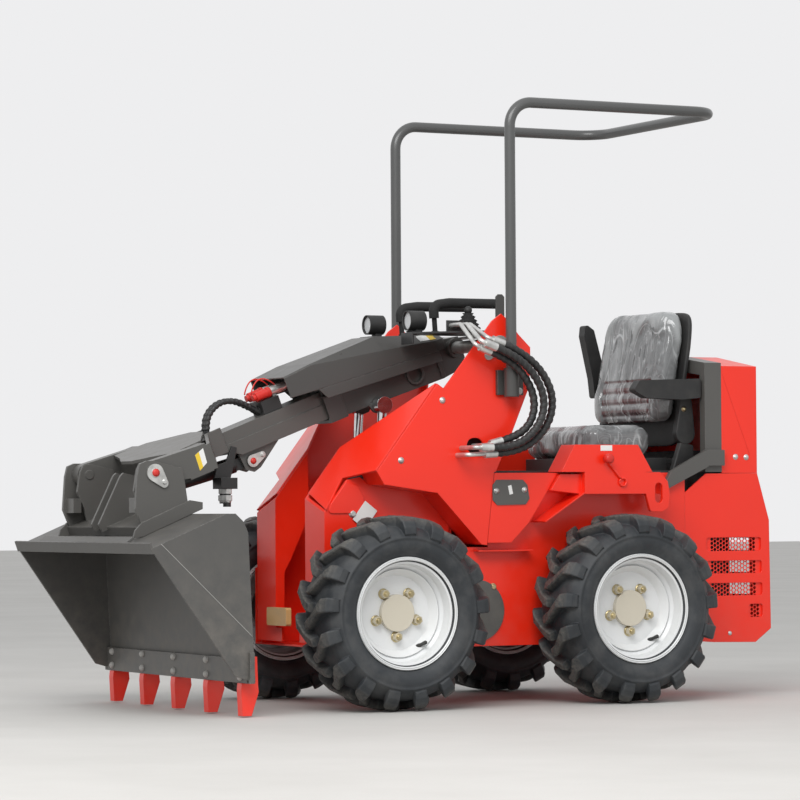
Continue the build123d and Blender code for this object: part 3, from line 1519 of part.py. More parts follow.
# Two hoses from the block on the boom down into its nose
for name, y in (("left", boom_hose_y), ("right", -boom_hose_y)):
    corners = [boom_point(s, t) for s, t in boom_hose_route]
    route = [point(x, y, z) for x, z in corners]
    radii = bend_radii(route)
    print(f"boom_hose_{name}", [round(radius) for radius in radii])
    with BuildPart() as boom_hose:
        with BuildLine() as hose_line:
            FilletPolyline(*route, radius=radii)
        with BuildSketch(Plane(origin=hose_line.line @ 0, z_dir=hose_line.line % 0)):
            Circle(boom_hose_size / 2)
        sweep()
    print("share of section times length", filled_share(boom_hose.part, hose_line.line, boom_hose_size))
    boom_hose.part.label = f"boom_hose_{name}"
    export_step(boom_hose.part, f"parts/boom_hose_{name}.step")
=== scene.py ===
# %% [markdown]
# # A small skid steer loader with a telescopic boom
# The machine comes out of the CAD model with every panel, pin and wheel in its right place.
# What is left for Blender is what makes it look real: paint, rubber, lugs, bolts, cloth and
# light.

# %% Load the frame and keep its box
import math
import bmesh
import bpy
import numpy as np
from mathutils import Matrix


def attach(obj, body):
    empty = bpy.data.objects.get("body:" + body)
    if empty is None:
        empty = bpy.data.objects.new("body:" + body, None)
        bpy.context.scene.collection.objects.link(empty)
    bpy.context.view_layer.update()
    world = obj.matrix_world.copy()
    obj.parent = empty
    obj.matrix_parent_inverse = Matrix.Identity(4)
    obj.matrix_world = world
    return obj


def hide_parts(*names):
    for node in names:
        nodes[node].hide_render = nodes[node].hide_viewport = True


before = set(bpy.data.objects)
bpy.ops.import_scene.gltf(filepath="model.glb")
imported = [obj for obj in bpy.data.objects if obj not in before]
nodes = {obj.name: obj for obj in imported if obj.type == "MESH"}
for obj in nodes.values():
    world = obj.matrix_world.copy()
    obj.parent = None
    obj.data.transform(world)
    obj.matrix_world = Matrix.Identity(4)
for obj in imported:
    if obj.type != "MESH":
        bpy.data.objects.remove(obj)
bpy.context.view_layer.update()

# %% [markdown]
# ## Places
# The CAD source counts stations forward from the middle of the wheelbase, in millimetres.
# Short helpers turn such numbers into metres in the shared frame: one for the chassis, one for
# an outline beside the machine, and one for the boom, which slopes down to the front.

# %% Helpers for places
STATION_ZERO = -0.108
AXLE_STATION = 0.405
AXLE_HEIGHT = 0.292
SLOPE = math.radians(21)
BOOM_PIVOT = (-5, 1107)
BOOM_FORWARD = np.array([math.cos(SLOPE), 0, -math.sin(SLOPE)])
LEFT = np.array([0.0, 1.0, 0.0])
UP = np.array([0.0, 0.0, 1.0])
FORWARD = np.array([1.0, 0.0, 0.0])
BOTH_SIDES = (("left", 1), ("right", -1))


def place(x, y, z):
    """Station, distance to the left and height in millimetres, as metres in the frame."""
    return np.stack(np.broadcast_arrays(x / 1000 + STATION_ZERO, y / 1000, z / 1000), -1)


def on_side(points, y):
    """Points given by station and height, all at a distance y to the left."""
    stations, heights = np.array(points, float).T
    return place(stations, y, heights)


def on_boom(s, y, t):
    """Distance along the boom, to the left and square to it, in millimetres from the pivot."""
    x = BOOM_PIVOT[0] + s * math.cos(SLOPE) + t * math.sin(SLOPE)
    z = BOOM_PIVOT[1] - s * math.sin(SLOPE) + t * math.cos(SLOPE)
    return place(x, y, z)


def linked(name, data):
    """A new object in the scene, which shows a mesh, a curve, a camera or a lamp."""
    made = bpy.data.objects.new(name, data)
    bpy.context.scene.collection.objects.link(made)
    return made


def pose_matrix(right, upward, back, origin):
    """A matrix whose columns are three directions and a place, in the order Blender takes."""
    columns = np.eye(4)
    columns[:3] = np.column_stack([right, upward, back, origin])
    return columns.T.tolist()


print("boom pivot at", np.round(on_boom(0, 0, 0), 3))

# %% [markdown]
# ## Camera
# The photograph was taken from far off with a long lens, a little above hub height. A camera
# is a point and three directions: right, up and back. They are worked out from its heading,
# tilt and roll, and become the columns of its matrix.

# %% Camera
EYE = np.array([5.096, 9.733, 0.605])
HEADING, TILT, ROLL = np.radians([27.40, 1.77, -0.35])
FOCAL_PIXELS = 3498
PHOTO_WIDTH = 800
SENSOR_WIDTH = 36
ahead = np.array([
    -np.sin(HEADING) * np.cos(TILT), -np.cos(HEADING) * np.cos(TILT), np.sin(TILT),
])
level_right = np.array([-np.cos(HEADING), np.sin(HEADING), 0])
level_up = np.cross(level_right, ahead)
right = np.cos(ROLL) * level_right + np.sin(ROLL) * level_up
upward = -np.sin(ROLL) * level_right + np.cos(ROLL) * level_up
camera = linked("photo_camera", bpy.data.cameras.new("photo_camera"))
camera.data.sensor_width = SENSOR_WIDTH
camera.data.lens = FOCAL_PIXELS / PHOTO_WIDTH * SENSOR_WIDTH
camera.data.clip_end = 200
camera.matrix_world = pose_matrix(right, upward, -ahead, EYE)
bpy.context.scene.camera = camera
print("camera with a lens of", round(camera.data.lens, 1), "mm")

# %% [markdown]
# ## Hoses
# Hydraulic hoses are stiff rubber tubes, so they bend in wide smooth arcs. A NURBS curve
# with a round bevel does this from a handful of points: it passes near its inner points and
# starts and ends exactly on its last ones.

# %% A hose from its corners
def mesh_points(mesh):
    """The points of a mesh as an array."""
    points = np.empty(len(mesh.vertices) * 3)
    mesh.vertices.foreach_get("co", points)
    return points.reshape(-1, 3)


def curve_points(curve):
    """The points along a curve that has no bevel yet, in order."""
    line = bpy.data.objects.new("line", curve)
    mesh = bpy.data.meshes.new_from_object(line)
    points = mesh_points(mesh)
    bpy.data.meshes.remove(mesh)
    bpy.data.objects.remove(line)
    return points


def hose(name, corners, thickness):
    """A round tube, half the thickness in radius, along the NURBS curve of its corners."""
    curve = bpy.data.curves.new(name, "CURVE")
    curve.dimensions = "3D"
    curve.resolution_u = 12
    spline = curve.splines.new("NURBS")
    spline.points.add(len(corners) - 1)
    weighted = np.column_stack([corners, np.ones(len(corners))])
    spline.points.foreach_set("co", weighted.ravel())
    spline.order_u = 3
    spline.use_endpoint_u = True
    points = curve_points(curve)
    spline.points.foreach_set("radius", np.full(len(corners), thickness / 2))
    curve.bevel_depth = 1.0
    curve.bevel_resolution = 5
    curve.use_fill_caps = True
    return linked(name, curve), points


print("a hose can be made from its corners")

# %% [markdown]
# Three loops join the console to the left tower, and two short hoses arch over the nose of
# the boom. Their corners are the route's points in the CAD source.

# %% Three loops beside the roll bar and two hoses over the nose
LOOP_THICKNESS = 0.022
NOSE_THICKNESS = 0.016
LOOP_Y = 419.5
MIDDLE_Y = 443.5
NOSE_Y = 10
loops = {
    "outer": (LOOP_Y, [
        (19, 1103), (-32, 1086), (-112, 1028), (-155, 948), (-142, 866), (-82, 801), (-7, 773),
        (47, 770),
    ]),
    "middle": (MIDDLE_Y, [
        (57, 1091), (0, 1071), (-70, 1019), (-111, 944), (-100, 869), (-45, 809), (25, 787),
        (73, 787),
    ]),
    "inner": (LOOP_Y, [
        (63, 1079), (3, 1056), (-55, 1008), (-90, 938), (-80, 870), (-32, 824), (28, 808),
    ]),
}
routes = {
    "loop_hose_" + name: (on_side(corners, y), LOOP_THICKNESS, "chassis")
    for name, (y, corners) in loops.items()
}
nose = np.array([
    (697, 57), (724, 85), (756, 108), (795, 117), (834, 106), (863, 78), (875, 40),
], float)
for side, hand in BOTH_SIDES:
    route = on_boom(nose[:, 0], hand * NOSE_Y, nose[:, 1])
    routes["boom_hose_" + side] = (route, NOSE_THICKNESS, "inner_boom")

hoses = {}
for name, (route, thickness, body) in routes.items():
    tube, points = hose(name + "_rubber", route, thickness)
    length = float(np.linalg.norm(np.diff(points, axis=0), axis=1).sum())
    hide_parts(name)
    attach(tube, body)
    hoses[name] = (tube, points, length)
    print(name, "is", round(length, 3), "m long")

# %% [markdown]
# ## Surfaces from arrays
# Nearly every new piece is a grid: a profile turned round an axis or carried along a path.
# Numpy works out all its points at once, and one helper joins neighbours into faces.

# %% Grids and pieces
def grid_faces(rows, columns, closed=False):
    """Four-sided faces of a grid of points numbered row by row. Each row closes in a ring."""
    r, c = np.meshgrid(np.arange(rows if closed else rows - 1), np.arange(columns), indexing="ij")
    r2 = (r + 1) % rows
    c2 = (c + 1) % columns
    corners = [r * columns + c, r * columns + c2, r2 * columns + c2, r2 * columns + c]
    return np.stack(corners, -1).reshape(-1, 4)


def closed_grids(rows, columns, starts=np.zeros(1, int)):
    """Faces of equal grids that start at these points, and their end rings as flat caps."""
    faces = (starts[:, None, None] + grid_faces(rows, columns)).reshape(-1, 4)
    rings = starts[:, None] + np.arange(columns)
    return faces, rings.tolist() + (rings + (rows - 1) * columns).tolist()


def unit(vectors):
    """A vector, or every row of an array of vectors, divided by its length."""
    return vectors / np.linalg.norm(vectors, axis=-1, keepdims=True)


def turn_angles(count):
    """Even angles once round a circle."""
    return np.linspace(0, 2 * np.pi, count, endpoint=False)


def new_mesh(name, points, faces):
    """A mesh from an array of points and a list of faces."""
    mesh = bpy.data.meshes.new(name)
    mesh.from_pydata(np.asarray(points, float).reshape(-1, 3).tolist(), [], faces)
    return mesh


def outward(mesh):
    """Turns every closed part of a mesh so that its faces point out."""
    work = bmesh.new()
    work.from_mesh(mesh)
    bmesh.ops.recalc_face_normals(work, faces=work.faces)
    work.to_mesh(mesh)
    work.free()


def piece(name, points, faces, finish, body="chassis", caps=(), smooth=True):
    """A mesh object on a body. Its finish is a material and a slot name, which is not used."""
    material, slot = finish
    mesh = new_mesh(name, points, np.asarray(faces).tolist() + list(caps))
    mesh.validate()
    outward(mesh)
    mesh.polygons.foreach_set("use_smooth", np.full(len(mesh.polygons), smooth))
    if material is not None:
        mesh.materials.append(material)
    made = linked(name, mesh)
    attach(made, body)
    return made


print("grids can be made into pieces")

# %% [markdown]
# ## Spiral guards
# A plastic spiral is wound round each hose to protect it. Its surface is the tube of the hose
# with a radius that rises and falls along a helix, so one formula makes every turn. The guard
# follows the very points that the hose's spline gives.

# %% Guards round the hoses
GUARD_STEP = 0.0022
GUARD_SIDES = 24
GUARD_MARGIN = 0.012
TURNS_PER_THICKNESS = 0.95
BAND_PROUD = 0.0014
BAND_SUNK = 0.0006


def even_points(line, step):
    """The line again, with points an even step apart, and how far along each one lies."""
    run = np.concatenate([[0], np.cumsum(np.linalg.norm(np.diff(line, axis=0), axis=1))])
    want = np.linspace(0, run[-1], max(int(run[-1] / step), 2) + 1)
    return np.column_stack([np.interp(want, run, line[:, k]) for k in range(3)]), want


def tube_piece(name, line, radius, finish, body="chassis", count=12):
    """A closed tube along a line in an upright plane: rings line + r (cos u side + sin u other)."""
    ahead = unit(np.gradient(line, axis=0))
    side = unit(np.cross(LEFT, ahead))
    other = np.cross(ahead, side)
    angle = turn_angles(count)
    spoke = np.cos(angle)[:, None] * side[:, None] + np.sin(angle)[:, None] * other[:, None]
    rows = len(line)
    radius = np.broadcast_to(radius, (rows, count))
    points = line[:, None] + radius[..., None] * spoke
    faces, caps = closed_grids(rows, count)
    return piece(name, points, faces, finish, body, caps)


def guard(name, line, thickness, body):
    """A sleeve of radius R - sunk + (proud + sunk) band, band = 0.75 + 1.6 cos(phase), clipped."""
    line, run = even_points(line, GUARD_STEP)
    inner = (run > GUARD_MARGIN) & (run < run[-1] - GUARD_MARGIN)
    angle = turn_angles(GUARD_SIDES)
    phase = run[inner][:, None] / (thickness * TURNS_PER_THICKNESS) * 2 * np.pi - angle
    band = np.clip(0.75 + 1.6 * np.cos(phase), 0, 1)
    radius = thickness / 2 - BAND_SUNK + (BAND_PROUD + BAND_SUNK) * band
    return tube_piece(name, line[inner], radius, (None, "hose_rubber"), body, GUARD_SIDES)


guards = []
for name, (tube, points, length) in hoses.items():
    thickness, body = routes[name][1:]
    wound = guard(name + "_guard", points, thickness, body)
    guards.append(wound)
    print(wound.name, "with", len(wound.data.polygons), "faces")

# %% [markdown]
# ## Materials
# Real finishes are never one flat colour. Paint varies a little from panel to panel, catches
# dust low down and rubs thin on its edges. A few helpers keep the node trees short: they add
# one node, or a usual small set of them, and return its result.

# %% Node helpers
def node(tree, kind, inputs=None, **settings):
    """Adds a shader node, sets its settings, and links or sets its inputs."""
    made = tree.nodes.new("ShaderNode" + kind)
    for key, value in settings.items():
        setattr(made, key, value)
    for key, value in (inputs or {}).items():
        socket = made.inputs[key]
        if isinstance(value, bpy.types.NodeSocket):
            tree.links.new(value, socket)
        else:
            socket.default_value = value
    return made


def join(tree, sockets, values):
    """Links each value to the socket of its name."""
    for label, value in values.items():
        tree.links.new(value, sockets[label])


def maths(tree, operation, a, b=0.0, c=0.0, clamp=False):
    """A Math node's result."""
    inputs = {0: a, 1: b, 2: c}
    return node(tree, "Math", inputs, operation=operation, use_clamp=clamp).outputs[0]


def times(tree, a, b, clamp=False):
    """The product of two values."""
    return maths(tree, "MULTIPLY", a, b, clamp=clamp)


def plus(tree, a, b, clamp=False):
    """The sum of two values."""
    return maths(tree, "ADD", a, b, clamp=clamp)


def minus(tree, a, b):
    """The first value less the second."""
    return maths(tree, "SUBTRACT", a, b)


def split(tree, vector):
    """The three parts of a vector."""
    return node(tree, "SeparateXYZ", {0: vector}).outputs


def opaque(colour):
    """Three numbers as a colour without transparency. A socket stays as it is."""
    return colour if isinstance(colour, bpy.types.NodeSocket) else (*colour, 1)


def mixed(tree, share, a, b, blend="MIX"):
    """Two colours mixed by a share."""
    inputs = {0: share, 6: opaque(a), 7: opaque(b)}
    return node(tree, "Mix", inputs, data_type="RGBA", blend_type=blend).outputs[2]


def ranged(tree, value, low, high, out_low=0.0, out_high=1.0):
    """A value mapped from one range to another, held at its ends."""
    inputs = {
        "From Min": low, "From Max": high, "To Min": out_low, "To Max": out_high, "Value": value,
    }
    return node(tree, "MapRange", inputs).outputs[0]


def noise(tree, vector, scale, detail=3.0, rough=0.5, distortion=0.0):
    """A noise value at a scale per metre."""
    inputs = {
        "Vector": vector, "Scale": scale, "Detail": detail, "Roughness": rough,
        "Distortion": distortion,
    }
    return node(tree, "TexNoise", inputs).outputs[0]


def rolled_edge(tree, radius):
    """The normal of a surface whose sharp edges look rounded with this radius."""
    return node(tree, "Bevel", {"Radius": radius}, samples=4).outputs[0]


def bumped(tree, strength, distance, height, **normal):
    """The normal tilted by a height, from the surface's own normal or a given one."""
    inputs = {"Strength": strength, "Distance": distance, "Height": height, **normal}
    return node(tree, "Bump", inputs).outputs[0]


print("node helpers are ready")

# %% [markdown]
# Effects that several finishes share are node groups: each takes a colour and returns a
# colour, a roughness and a normal. The first is sheet metal paint. Slow noise changes its
# shade, dust gathers low down and on top, and chips show on edges that the bevel finds.

# %% Group: paint that varies, gathers dust and wears on its edges
def new_group(name, colour, values):
    """An empty shader node group with its tree, the sockets it is given and its results."""
    tree = bpy.data.node_groups.new(name, "ShaderNodeTree")
    add = tree.interface.new_socket
    add("Vector", in_out="INPUT", socket_type="NodeSocketVector")
    add("Colour", in_out="INPUT", socket_type="NodeSocketColor").default_value = opaque(colour)
    for label, value in values.items():
        add(label, in_out="INPUT", socket_type="NodeSocketFloat").default_value = value
    for label, kind in (("Colour", "Color"), ("Roughness", "Float"), ("Normal", "Vector")):
        add(label, in_out="OUTPUT", socket_type="NodeSocket" + kind)
    given = tree.nodes.new("NodeGroupInput")
    return tree, given.outputs, tree.nodes.new("NodeGroupOutput").inputs


DUST = (0.33, 0.29, 0.24)
BARE_EDGE = (0.42, 0.40, 0.38)


def make_coat_group():
    """Colour times slow noise, dust below a height, pale edges, and a soft rolled edge normal."""
    tree, g, result = new_group("painted_sheet", (0.5, 0.5, 0.5), {
        "Variation": 0.12, "Dust": 0.25, "Wear": 0.3, "Roughness": 0.35, "Peel": 0.05,
        "Edge": 0.0025,
    })
    where = g["Vector"]
    patches = noise(tree, where, 23.0, 6.0, 0.65)
    slow = minus(tree, noise(tree, where, 2.3, 4.0), 0.5)
    shade = maths(tree, "MULTIPLY_ADD", slow, g["Variation"], 1.0)
    grey = node(tree, "CombineColor", {0: shade, 1: shade, 2: shade}).outputs[0]
    varied = mixed(tree, 1.0, g["Colour"], grey, "MULTIPLY")
    low_down = ranged(tree, split(tree, where)[2], 0.75, 0.03)
    facing = split(tree, node(tree, "NewGeometry").outputs["Normal"])[2]
    flat = ranged(tree, facing, 0.5, 1.0, 0.0, 0.35)
    layer = plus(tree, times(tree, low_down, low_down), flat)
    dusty = times(tree, layer, ranged(tree, patches, 0.35, 0.75))
    dust = times(tree, dusty, g["Dust"], True)
    soiled = mixed(tree, dust, varied, DUST)
    rolled = rolled_edge(tree, g["Edge"])
    plain = node(tree, "NewGeometry").outputs["True Normal"]
    along = node(tree, "VectorMath", {0: rolled, 1: plain}, operation="DOT_PRODUCT")
    edge = ranged(tree, along.outputs["Value"], 0.995, 0.80)
    chips = ranged(tree, noise(tree, where, 60.0, 5.0, 0.7), 0.45, 0.62)
    worn = times(tree, times(tree, edge, chips), g["Wear"], True)
    rough = minus(tree, patches, 0.5)
    rubbed = maths(tree, "MULTIPLY_ADD", rough, 0.18, g["Roughness"])
    join(tree, result, {
        "Colour": mixed(tree, worn, soiled, BARE_EDGE),
        "Roughness": maths(tree, "MULTIPLY_ADD", dust, 0.35, rubbed),
        "Normal": bumped(tree, g["Peel"], 0.0006, noise(tree, where, 260.0, 2.0), Normal=rolled),
    })
    return tree


coat_group = make_coat_group()
print("group:", coat_group.name)

# %% [markdown]
# The second group is moulded plastic or rubber. The cells of a Voronoi texture give its fine
# pebbled grain, and a little pale dust lies in the hollows.

# %% Group: moulded grain for plastic and rubber
PALE_DUST = (0.30, 0.28, 0.25)


def make_grain_group():
    """A fine pebbled bump over a faint mottling, with dust in the hollows."""
    tree, g, result = new_group("moulded_grain", (0.03, 0.03, 0.03), {
        "Grain": 500.0, "Depth": 0.3, "Dust": 0.2, "Roughness": 0.6, "Edge": 0.002,
    })
    where = g["Vector"]
    cells = node(tree, "TexVoronoi", {"Vector": where, "Scale": g["Grain"]}).outputs["Distance"]
    mottle = noise(tree, where, 14.0, 6.0, 0.6)
    dust = times(tree, ranged(tree, mottle, 0.45, 0.72), g["Dust"], True)
    rough = minus(tree, mottle, 0.5)
    rolled = rolled_edge(tree, g["Edge"])
    join(tree, result, {
        "Colour": mixed(tree, dust, g["Colour"], PALE_DUST),
        "Roughness": maths(tree, "MULTIPLY_ADD", rough, 0.25, g["Roughness"]),
        "Normal": bumped(tree, g["Depth"], 0.0008, cells, Normal=rolled),
    })
    return tree


grain_group = make_grain_group()
print("group:", grain_group.name)

# %% [markdown]
# A material joins a group to a Principled shader. Its colour is fixed, or it is a function of
# the coordinates: the wheel is one CAD node, but its hub cap and nuts have their own colour,
# and the tops of the tyre's lugs are scuffed. The distance from the axle tells them apart, so
# no mesh is cut.

# %% Materials and the colours that depend on a place
materials = {}
BUCKET_GREY = (0.085, 0.083, 0.079)
EDGE_FRONT = 0.8275
CAP_RADIUS = 0.0558
NUT_REACH = 0.088
NUT_SIDE = 0.4392


def surface(name, constants=None):
    """A new material: its tree, the sockets of its Principled shader, object coordinates."""
    material = bpy.data.materials.new(name)
    material.use_nodes = True
    tree = material.node_tree
    tree.nodes.clear()
    principled = node(tree, "BsdfPrincipled", constants)
    node(tree, "OutputMaterial", {0: principled.outputs[0]})
    materials[name] = material
    return tree, principled.inputs, node(tree, "TexCoord").outputs["Object"]


def grouped(name, group, colour, values, constants=None):
    """A material whose colour, roughness and normal come from one of the groups."""
    tree, shader, where = surface(name, constants)
    effect = tree.nodes.new("ShaderNodeGroup")
    effect.node_tree = group
    tree.links.new(where, effect.inputs["Vector"])
    if callable(colour):
        tree.links.new(colour(tree, where), effect.inputs["Colour"])
    else:
        effect.inputs["Colour"].default_value = opaque(colour)
    for socket, value in zip(effect.inputs[2:], values, strict=True):
        socket.default_value = value
    join(tree, shader, dict(zip(("Base Color", "Roughness", "Normal"), effect.outputs)))


def edge_colour(tree, where):
    """Bucket grey, and bright steel for the bolt heads in front of the edge."""
    ahead_of = maths(tree, "GREATER_THAN", split(tree, where)[0], EDGE_FRONT)
    return mixed(tree, ahead_of, BUCKET_GREY, (0.42, 0.41, 0.39))


def axle_distance(tree, where):
    """Distance from the nearer axle: the root of (|x| - station)^2 + (z - height)^2."""
    x, y, z = split(tree, where)
    station = maths(tree, "ABSOLUTE", minus(tree, x, STATION_ZERO))
    across = minus(tree, station, AXLE_STATION)
    above = minus(tree, z, AXLE_HEIGHT)
    squares = plus(tree, times(tree, across, across), times(tree, above, above))
    return maths(tree, "SQRT", squares)


def wheel_colour(tree, where):
    """Silver rim, beige hub cap, zinc nuts where they stand off the disc."""
    radius = axle_distance(tree, where)
    outside = maths(tree, "ABSOLUTE", split(tree, where)[1])
    cap = maths(tree, "LESS_THAN", radius, CAP_RADIUS)
    standing = maths(tree, "GREATER_THAN", outside, NUT_SIDE)
    nut = times(tree, standing, maths(tree, "LESS_THAN", radius, NUT_REACH))
    painted = mixed(tree, nut, (0.76, 0.77, 0.77), (0.56, 0.50, 0.37))
    circles = node(tree, "CombineXYZ", {0: radius}).outputs[0]
    rings = ranged(tree, noise(tree, circles, 900.0, 4.0, 0.8), 0.3, 0.7)
    brushed = mixed(tree, rings, (0.52, 0.47, 0.37), (0.70, 0.65, 0.54))
    return mixed(tree, cap, painted, brushed)


def tyre_colour(tree, where):
    """Bloomed black rubber, with brown scuffs on what stands farthest from the axle."""
    top = ranged(tree, axle_distance(tree, where), 0.268, 0.287)
    scuffs = ranged(tree, noise(tree, where, 90.0, 6.0, 0.7), 0.30, 0.68)
    bloom = ranged(tree, noise(tree, where, 7.0, 5.0, 0.6), 0.3, 0.7)
    rubber = mixed(tree, bloom, (0.016, 0.019, 0.022), (0.034, 0.039, 0.044))
    return mixed(tree, times(tree, top, scuffs, True), rubber, (0.115, 0.108, 0.095))


print("colours can follow a place")

# %% [markdown]
# The paints and mouldings are rows of a table. A paint has its variation, dust, wear,
# roughness, orange peel and the radius of its edges. A moulding has its grain per metre, the
# grain's depth, dust, roughness and the radius of its edges. Some have a clear coat.

# %% Paints and mouldings
def coat(weight, roughness):
    """A clear coat over the paint."""
    return {"Coat Weight": weight, "Coat Roughness": roughness}


LABEL = (0.12, 0.15, 0.2, 0.35, 0.05, 0.0006)
paints = {
    "red_enamel": ((0.90, 0.024, 0.006), (0.16, 0.10, 0.06, 0.34, 0.08, 0.0035), coat(0.22, 0.10)),
    "warm_grey_enamel": (
        (0.088, 0.085, 0.079), (0.30, 0.35, 0.35, 0.40, 0.12, 0.0025), coat(0.15, 0.2),
    ),
    "edge_enamel": (edge_colour, (0.35, 0.40, 0.8, 0.38, 0.12, 0.0025)),
    "boom_enamel": (
        (0.056, 0.054, 0.051), (0.25, 0.22, 0.25, 0.40, 0.10, 0.0035), coat(0.15, 0.2),
    ),
    "bucket_enamel": (BUCKET_GREY, (0.35, 0.45, 0.6, 0.44, 0.12, 0.0025)),
    "black_satin_enamel": ((0.022, 0.022, 0.022), (0.3, 0.30, 0.3, 0.38, 0.10, 0.002)),
    "roll_bar_enamel": (
        (0.080, 0.081, 0.080), (0.3, 0.10, 0.1, 0.33, 0.10, 0.001), coat(0.2, 0.15),
    ),
    "wheel_silver": (wheel_colour, (0.10, 0.07, 0.05, 0.34, 0.10, 0.0025), coat(0.25, 0.15)),
    # The lap line's pale grey is a painted highlight of a light edge on the bucket.
    "lap_line_painted_highlight": ((0.30, 0.295, 0.28), (0.4, 0.1, 0.4, 0.35, 0.05, 0.0004)),
    "white_label": ((0.80, 0.80, 0.78), LABEL),
    "yellow_label": ((0.80, 0.55, 0.04), LABEL),
}
mouldings = {
    "black_moulding": ((0.018, 0.018, 0.018), (700.0, 0.35, 0.06, 0.52, 0.002)),
    "foam_grip": ((0.014, 0.014, 0.014), (420.0, 0.9, 0.05, 0.82, 0.002)),
    "red_cap_rubber": ((0.62, 0.02, 0.012), (500.0, 0.25, 0.12, 0.42, 0.002)),
    "cast_housing": ((0.045, 0.045, 0.048), (260.0, 0.7, 0.3, 0.6, 0.002), {"Metallic": 0.4}),
    "amber_marker": ((0.68, 0.42, 0.16), (220.0, 0.35, 0.25, 0.35, 0.002), {"Coat Weight": 0.3}),
    "tyre_rubber": (tyre_colour, (300.0, 0.18, 0.10, 0.60, 0.004)),
    "hose_cover_rubber": ((0.016, 0.016, 0.017), (900.0, 0.3, 0.08, 0.42, 0.0005)),
}
for group, rows in ((coat_group, paints), (grain_group, mouldings)):
    for name, row in rows.items():
        grouped(name, group, *row)
print(len(materials), "painted and moulded finishes")

# %% [markdown]
# Bare metal is streaked: noise that is stretched along the machine changes the roughness and
# gives fine scratches. The lamp's lens is glass with faint ribs.

# %% Metals and glass
def shaded(colour, share):
    """A darker tone of a colour."""
    return tuple(share * c for c in colour)


def metal(name, colour, rough, scratch, metallic):
    """Bare metal: base colour varied by noise, streaked roughness and fine scratches."""
    tree, shader, where = surface(name, {"Metallic": metallic})
    stretched = node(tree, "Mapping", {"Vector": where, "Scale": (30, 400, 60)}).outputs[0]
    streaks = noise(tree, stretched, 1.0, 5.0, 0.7)
    cloud = ranged(tree, noise(tree, where, 35.0, 4.0), 0.3, 0.75)
    join(tree, shader, {
        "Base Color": mixed(tree, cloud, colour, shaded(colour, 0.62)),
        "Roughness": ranged(tree, streaks, 0.2, 0.8, max(rough - 0.1, 0.05), rough + 0.16),
        "Normal": bumped(tree, scratch, 0.0002, streaks, Normal=rolled_edge(tree, 0.0012)),
    })


def bands(tree, vector, scale):
    """Even waves across the machine."""
    inputs = {"Vector": vector, "Scale": scale}
    return node(tree, "TexWave", inputs, bands_direction="Y").outputs["Fac"]


def glass(name, colour, rough):
    """Clear moulded glass with a faint ribbed bump."""
    tree, shader, where = surface(name, {
        "Transmission Weight": 0.35, "IOR": 1.45, "Metallic": 0.0, "Roughness": rough,
    })
    join(tree, shader, {
        "Base Color": mixed(tree, noise(tree, where, 20.0), colour, shaded(colour, 0.93)),
        "Normal": bumped(tree, 0.25, 0.001, bands(tree, where, 55.0)),
    })


metal("zinc_plating", (0.76, 0.76, 0.74), 0.40, 0.2, 0.85)
metal("yellow_zinc_plating", (0.62, 0.52, 0.30), 0.32, 0.2, 1.0)
metal("hard_chrome", (0.78, 0.78, 0.79), 0.12, 0.05, 1.0)
metal("pin_plate_steel", (0.66, 0.66, 0.64), 0.46, 0.3, 0.8)
glass("lamp_glass", (0.90, 0.91, 0.92), 0.08)
print(len(materials), "finishes with metals and glass")

# %% [markdown]
# The seat is still in its clear film. Below it is grey woven cloth with dark red pleats in the
# middle panel. The film is a glossy clear coat of its own normal, and its creases are the thin
# lines where a warped noise crosses its middle value. Pale grey is mixed into the colour along
# these lines and as a broad sheen: painted highlights of the film.

# %% Cloth under creased film, with painted highlights
PANEL_HALF = 0.148
PLEAT_PITCH = 0.036
PANEL_TOP = 1.015
NO_TOP = 2.0


def film_cloth(name, pleat_axis, panel_top):
    """Grey cloth, dark red pleats in the middle panel, creased clear film and painted highlights.
    """
    tree, shader, where = surface(name, {
        "Coat Weight": 1.0, "Coat Roughness": 0.08, "Coat IOR": 1.6, "Roughness": 0.55,
    })
    mottle = times(tree, noise(tree, where, 120.0, 5.0, 0.7), 0.6)
    shade = maths(tree, "MULTIPLY_ADD", bands(tree, where, 380.0), 0.4, mottle)
    grey = mixed(tree, shade, (0.085, 0.088, 0.090), (0.20, 0.205, 0.205))
    red = mixed(tree, shade, (0.020, 0.010, 0.010), (0.15, 0.022, 0.026))
    parts = split(tree, where)
    inside = maths(tree, "LESS_THAN", maths(tree, "ABSOLUTE", parts[1]), PANEL_HALF)
    middle = times(tree, inside, maths(tree, "LESS_THAN", parts[2], panel_top))
    wave = maths(tree, "SINE", times(tree, parts[pleat_axis], 2 * math.pi / PLEAT_PITCH))
    stripes = times(tree, middle, ranged(tree, wave, -0.3, 0.3, 0.15, 0.9))
    cloth = mixed(tree, stripes, grey, red)
    warped = node(tree, "Mapping", {
        "Vector": where, "Scale": (6, 9, 3.2), "Rotation": (0.5, 0.25, 0.4),
    }).outputs[0]
    folds = noise(tree, warped, 1.0, 1.5, 0.5, 0.9)
    small = noise(tree, warped, 3.2, 1.0, 0.5, 0.7)
    ridge = maths(tree, "ABSOLUTE", minus(tree, folds, 0.5))
    fine_ridge = maths(tree, "ABSOLUTE", minus(tree, small, 0.52))
    # Painted highlights: pale lines along the film's creases, and a broad sheen where the folds
    # rise.
    crease = ranged(tree, ridge, 0.016, 0.0)
    fine_crease = ranged(tree, fine_ridge, 0.012, 0.0, 0.0, 0.7)
    lines = times(
        tree, maths(tree, "MAXIMUM", crease, fine_crease), ranged(tree, small, 0.35, 0.6),
    )
    painted_sheen = ranged(tree, folds, 0.50, 0.62, 0.0, 0.35)
    film = maths(tree, "MAXIMUM", times(tree, lines, 0.85), painted_sheen)
    height = plus(tree, folds, times(tree, small, 0.3))
    join(tree, shader, {
        # The painted film highlights go into the base colour as pale grey.
        "Base Color": mixed(tree, film, cloth, (0.56, 0.58, 0.58)),
        "Coat Normal": bumped(tree, 1.0, 0.05, height),
        "Normal": bumped(tree, 0.8, 0.02, height),
    })


